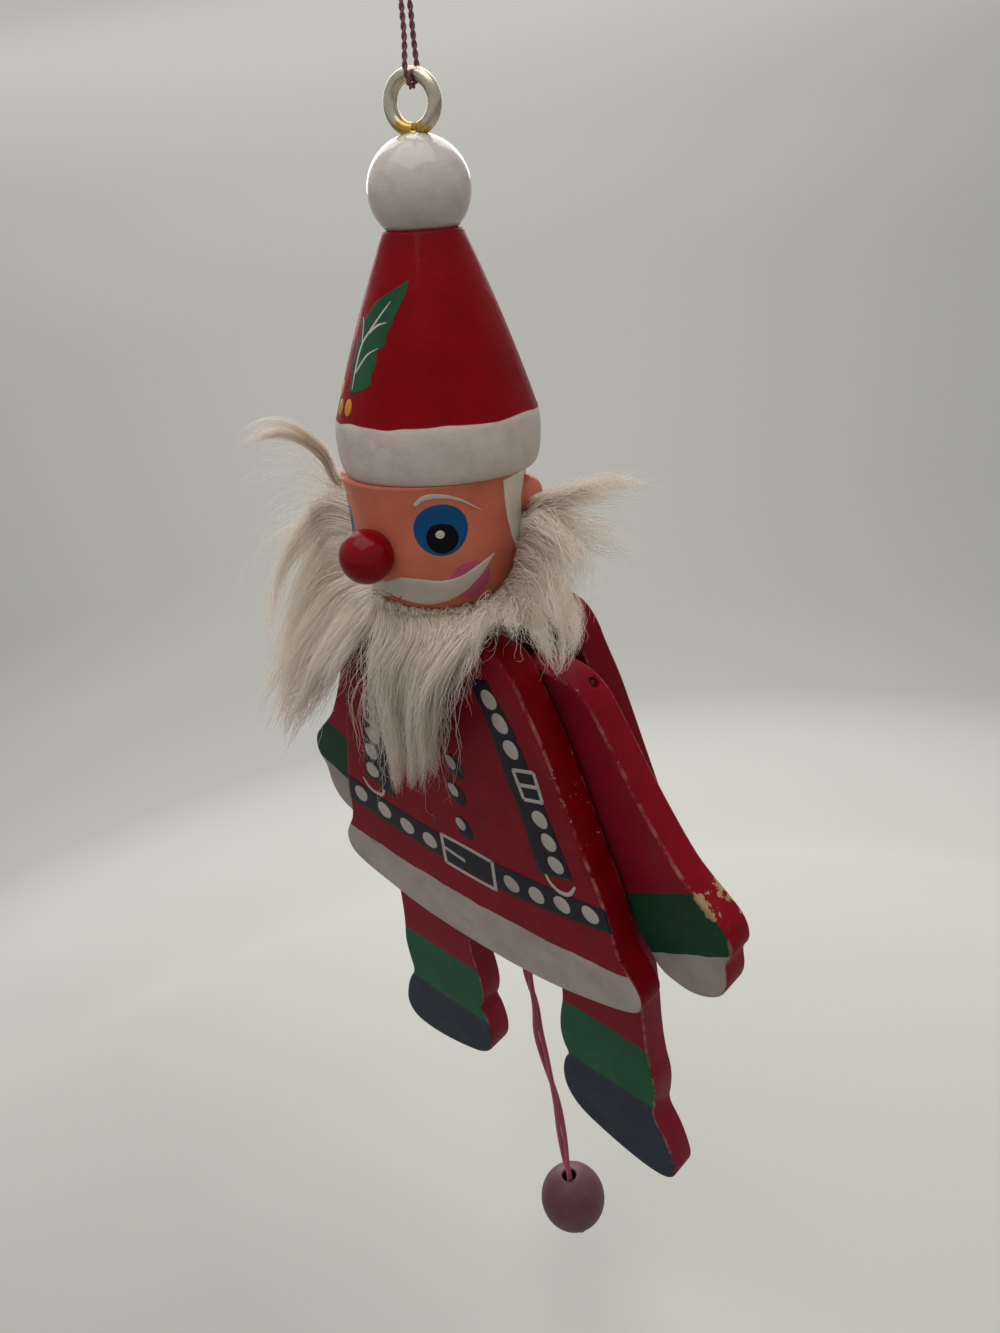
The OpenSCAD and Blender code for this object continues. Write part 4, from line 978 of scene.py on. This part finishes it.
def growFur(jaw, count, tufts, own, whole, wave, crimp, least):
    # A fibre leaves the strip at its own angle and eases over to its tuft's angle and place, while its own
    # offset fades towards the tip; slow sines bend whole tufts, and quicker ones crimp every fibre by itself
    t = np.linspace(0, 1, fur["steps"])[None]
    root = dice.uniform(*jaw, count)
    tuftRoot = np.sort(dice.uniform(*jaw, tufts))
    nearest = np.clip(np.searchsorted(tuftRoot, root + dice.normal(0, 3, count)), 0, tufts - 1)
    ease = t * t * (3 - 2 * t)
    turns = root[:, None] + (tuftRoot[nearest] - root)[:, None] * ease * 0.9
    fibre = guideAt(turns)
    tuftPlace = dice.normal(0, 1, (tufts, 1, 3)) * (1, 0.75, 1) * whole
    ownPlace = dice.normal(0, 1, (count, 1, 3)) * (1, 0.8, 1) * own
    grow = (t ** 0.7)[:, :, None]
    fibre = fibre + tuftPlace[nearest] * grow + ownPlace * grow * (1 - 0.92 * t[:, :, None] ** 1.5)
    for beats, size, number in ((0.6, 0.9, tufts), (1.5, 0.5, tufts), (2.7, 0.6, count), (5.2, 0.34, count)):
        phase = dice.uniform(0, 6.283, (number, 1, 3))
        beat = beats * dice.uniform(0.7, 1.3, (number, 1, 3))
        reach = dice.uniform(0.3, 1, (number, 1, 3)) * size
        bend = reach * (np.sin(beat * 6.283 * t[:, :, None] + phase) - np.sin(phase)) * grow
        fibre = fibre + (bend * crimp if number == count else bend[nearest] * wave)
    start = jawPoint(root, dice.uniform(-0.5, 1.2, count), dice.uniform(0.1, 1.9, count))
    fibre = fibre + (start - jawPoint(root))[:, None] * ((1 - t) ** 2)[:, :, None]
    length = np.clip(dice.beta(2.4, 1.3, count), 0, 1) * (1 - least) + least
    at = t * (length * dice.uniform(0.8, 1, tufts)[nearest])[:, None] * (fur["steps"] - 1)
    k = np.minimum(at.astype(int), fur["steps"] - 2)
    row = np.arange(count)[:, None]
    share = (at - k)[:, :, None]
    return fibre[row, k] * (1 - share) + fibre[row, k + 1] * share


def keepClear(fibre):
    # in front of the board's face wherever the board is
    halfWidth = np.interp(fibre[:, :, 2], *np.transpose(boardEdge))
    inside = np.clip((halfWidth + 1.5 - np.abs(fibre[:, :, 0])) / 1.5, 0, 1)
    inside = inside * np.clip(79.5 - fibre[:, :, 2], 0, 1)
    return fibre[:, :, 1] + inside * (np.minimum(fibre[:, :, 1], -0.35) - fibre[:, :, 1])


def fibresShape(fibre, thick, tip):
    # each fibre is a thin three-sided tube, thick * (1 - t ** 1.7) + tip across, closed at both ends
    count, steps = fibre.shape[:2]
    sides = fur["sides"]
    fibre[:, :, 1] = keepClear(fibre)
    tangent = np.gradient(fibre, axis=1)
    tangent /= np.maximum(np.linalg.norm(tangent, axis=2), 1e-6)[:, :, None]
    normal = np.cross(tangent, (0.31, 0.82, 0.48))
    normal /= np.maximum(np.linalg.norm(normal, axis=2), 1e-6)[:, :, None]
    binormal = np.cross(tangent, normal)
    t = np.linspace(0, 1, steps)
    width = (thick * (1 - t ** 1.7) + tip) / 2
    a = np.linspace(0, 2 * np.pi, sides, endpoint=False)
    ring = normal[:, :, None] * np.cos(a)[:, None] + binormal[:, :, None] * np.sin(a)[:, None]
    points = onFigure((fibre[:, :, None] + ring * width[None, :, None, None]).reshape(-1, 3))
    base = (np.arange(count) * steps * sides)[:, None]
    quads = (base[:, :, None] + gridFaces(steps, sides)[None]).reshape(-1, 4)
    caps = np.concatenate([base + np.arange(sides)[::-1], base + (steps - 1) * sides + np.arange(sides)])
    values = {"tone": np.repeat(dice.uniform(0, 1, count), steps * sides),
              "along": np.tile(np.repeat(t, sides), count)}
    return (points, [quads, caps]), values


furMaterial = startMaterial("creamFauxFur")
cream = over(attributeOf("tone"), "#fbeee1", "#fff8ef")
cream = over(fade(noiseOf(placeOf(), 8.0, 2.0), 0.5, 0.8, 0.0, 0.6), cream, "#fcf2e0")
cream = over(fade(attributeOf("along"), 0.0, 0.12, 0.5, 0.0), cream, "#fbf2e4")
opaque = addNode("BsdfPrincipled", {"Base Color": cream, "Roughness": 0.55, "Specular IOR Level": 0.3})
glow = addNode("BsdfTranslucent", {"Color": cream})
mixed = addNode("MixShader", {0: 0.35, 1: opaque.outputs[0], 2: glow.outputs[0]})
clear = addNode("BsdfTransparent")
# a fibre's far wall lets all light out again, so that it scatters once, as a real one does
inside = addNode("NewGeometry").outputs["Backfacing"]
thin = arithmetic("MAXIMUM", inside, 0.1)
mixed = addNode("MixShader", {0: thin, 1: mixed.outputs[0], 2: clear.outputs[0]})
addNode("OutputMaterial", {"Surface": mixed.outputs[0]})
for name, mass in furMasses.items():
    shape, values = fibresShape(growFur(*mass), fur["thick"], fur["tip"])
    makePiece(name, shape, furMaterial, "figure", ["beard"] if name == "beard_middle" else (), values)
print("beard grown")

# The strip's own edge: a fuzzy cord of matted fibre round the jaw, and small loops standing out of it
edge = {"radius": 0.8, "loops": 2600, "size": 0.75, "thick": 0.12, "steps": 9}
turn = np.linspace(-122, 122, 300)
line = onFigure(jawPoint(turn, 0.2, 0.75))
lumpy = edge["radius"] * mm * (1 + 0.18 * np.sin(turn * 0.9) + 0.12 * np.sin(turn * 2.3 + 1))
shape, _ = tube(line, lumpy, (0.1, 0.2, 1), 12)
values = {"along": np.ones(len(shape[0])), "tone": np.full(len(shape[0]), 0.5)}
makePiece("beard_strip", shape, furMaterial, "figure", (), values)
turn = dice.uniform(-122, 122, edge["loops"])
base = jawPoint(turn, dice.uniform(-0.8, 0.6, edge["loops"]), dice.uniform(0.7, 1.7, edge["loops"]))
t = np.linspace(0, 1, edge["steps"])[None, :, None]
size = edge["size"] * dice.uniform(0.5, 1.4, (edge["loops"], 1, 1))
way = dice.normal(0, 1, (edge["loops"], 1, 3))
lean = dice.normal(0, 1, (edge["loops"], 1, 3))
way /= np.linalg.norm(way, axis=2)[:, :, None]
loopsOfFibre = base[:, None] + size * (way * np.sin(t * np.pi) + 0.5 * lean * np.cos(t * np.pi))
shape, values = fibresShape(loopsOfFibre, edge["thick"] * 0.3, edge["thick"])
values["along"][:] = 1
makePiece("beard_strip_loops", shape, furMaterial, "figure", (), values)

# Carried-over wooden and string nodes keep their shape and get their real finish
bareBirch = startMaterial("bareBirch")
grain = noiseOf(squeezed(placeOf(), (1, 0.15, 1)), 0.7, 4.0)
finishMaterial({"Base Color": over(grain, "#957447", "#ba9d71"), "Roughness": 0.65}, grain, 0.05)
dyedString = startMaterial("dyedString")
weave = addNode("TexWave", {"Vector": placeOf(), "Scale": 1 / (0.6 * mm) / 6.283,
                            "Distortion": 2.0}, bands_direction="DIAGONAL").outputs["Fac"]
finishMaterial({"Base Color": over(weave, "#540f1a", "#802a39"), "Roughness": 0.85}, weave, 0.08)
carriedOver = (
    (bareBirch, ("neck_block", "neck_dowel", "arm_peg_left", "arm_peg_right", "leg_peg_left",
                 "leg_peg_right")),
    (dyedString, ("arm_tie_left", "arm_tie_right", "leg_tie_left", "leg_tie_right", "arm_string",
                  "leg_string", "string_knots")),
    (cottonRed, ("inner_cord",)),
)
for finish, names in carriedOver:
    for name in names:
        nodes[name].data.materials.clear()
        nodes[name].data.materials.append(finish)

# Studio: a wide floor just under the bead, even pale surroundings and two big soft lamps, above and behind
studio = {"floorZ": -0.280, "floorHalf": 8.0, "surround": 0.5, "floorTint": (1.0, 0.998, 0.915),
          "floorGrey": "#93918c", "shadeShare": 0.48, "middle": (0, 0, -0.12),
          "lamps": {"top": ((-0.05, 0.05, 1.1), 1.4, 10.0), "back": ((-0.75, 0.75, 0.25), 1.3, 10.0)}}
# painted light on the floor: how brightly it glows to the camera, by the angle in degrees at which the camera
# looks down on it
floorGlowLevels = [(3.2, 0.457), (6, 0.56), (12, 0.485), (18, 0.45), (31, 0.445), (37, 0.486), (44, 0.145),
               (51, 0.1), (57, 0.08), (90, 0.06)]
floorMesh = bpy.data.meshes.new("floor")
half = studio["floorHalf"]
floorMesh.from_pydata([(-half, -half, studio["floorZ"]), (half, -half, studio["floorZ"]),
                       (half, half, studio["floorZ"]), (-half, half, studio["floorZ"])], [], [(0, 1, 2, 3)])
floor = bpy.data.objects.new("floor", floorMesh)
bpy.context.scene.collection.objects.link(floor)
paperFloor = startMaterial("paperFloor")
below = (camera["place"][0] * mm, camera["place"][1] * mm, studio["floorZ"])
foot = addNode("VectorMath", {0: placeOf(), 1: below}, operation="SUBTRACT").outputs[0]
away = addNode("VectorMath", {0: foot}, operation="LENGTH").outputs["Value"]
height = camera["place"][2] * mm - studio["floorZ"]
looksDown = arithmetic("DIVIDE", arithmetic("ARCTAN2", height, away), np.pi / 2)
ramp = addNode("ValToRGB", {"Fac": looksDown})
ramp.color_ramp.interpolation = "EASE"
for k, (degrees, level) in enumerate(floorGlowLevels):
    stop = ramp.color_ramp.elements[k] if k < 2 else ramp.color_ramp.elements.new(degrees / 90)
    stop.position = degrees / 90
    stop.color = (*(level * tint for tint in studio["floorTint"]), 1)
aheadFlat = np.array(camera["ahead"][:2]) / np.linalg.norm(camera["ahead"][:2])
across = addNode("VectorMath", {0: foot, 1: (-aheadFlat[1], aheadFlat[0], 0)}, operation="DOT_PRODUCT")
aside = arithmetic("DIVIDE", across.outputs["Value"], away)
dim = times(times(aside, aside), fade(looksDown, 0.3, 0.5, -1.2, -0.2))
dim = times(dim, fade(away, 2.0, 3.6, 1.0, 0.0))
# painted light: the left side glows paler where the floor is 30 to 40 degrees down, and darker nearer than
# that
lift = arithmetic("SUBTRACT", fade(looksDown, 0.3, 0.34), fade(looksDown, 0.4, 0.5, 0.0, 2.0))
lift = times(fade(aside, 0.1, 0.45, 0.0, 0.15), lift)
tone = arithmetic("MAXIMUM", plus(plus(dim, lift), 1.0), 0.6)
# painted light: seen by the camera, the floor glows by the ramp's levels, dimmed towards the sides, in place
# of light falling off across it
shown = addNode("Emission", {"Color": ramp.outputs["Color"], "Strength": tone})
# near the figure most of the paper's light is diffuse, so that it keeps the shadow
share = times(fade(looksDown, 0.4, 0.48, 0.0, studio["shadeShare"]), tone)
paper = addNode("VectorMath", {0: studio["floorTint"], "Scale": share}, operation="SCALE")
takesShadow = addNode("BsdfDiffuse", {"Color": paper.outputs["Vector"]})
shown = addNode("AddShader", {0: shown.outputs[0], 1: takesShadow.outputs[0]})
dull = addNode("BsdfDiffuse", {"Color": linear(studio["floorGrey"])})
rays = addNode("LightPath").outputs
seen = arithmetic("MAXIMUM", rays["Is Camera Ray"],
                  arithmetic("MAXIMUM", times(rays["Is Glossy Ray"], 0.35), rays["Is Transmission Ray"]))
mixed = addNode("MixShader", {0: seen, 1: dull.outputs[0], 2: shown.outputs[0]})
addNode("OutputMaterial", {"Surface": mixed.outputs[0]})
floorMesh.materials.append(paperFloor)
world = bpy.data.worlds.new("studio")
bpy.context.scene.world = world
world.use_nodes = True
world.node_tree.nodes["Background"].inputs["Color"].default_value = linear("#f6f5f0")
world.node_tree.nodes["Background"].inputs["Strength"].default_value = studio["surround"]
for name, (stand, size, power) in studio["lamps"].items():
    # each lamp's back points away from the middle of the figure
    lampData = bpy.data.lights.new(name + "_lamp", "AREA")
    lampData.shape, lampData.size, lampData.energy = "SQUARE", size, power
    lamp = bpy.data.objects.new(name + "_lamp", lampData)
    bpy.context.scene.collection.objects.link(lamp)
    lamp.visible_camera = False
    back = np.subtract(stand, studio["middle"])
    back /= np.linalg.norm(back)
    side = np.cross((0, 0.2, 1), back)
    side /= np.linalg.norm(side)
    lampAxes = np.eye(4)
    lampAxes[:3] = np.stack([side, np.cross(back, side), back, stand], 1)
    lamp.matrix_world = Matrix(lampAxes.tolist())
bpy.context.scene.view_settings.view_transform = "Standard"
print("studio set")
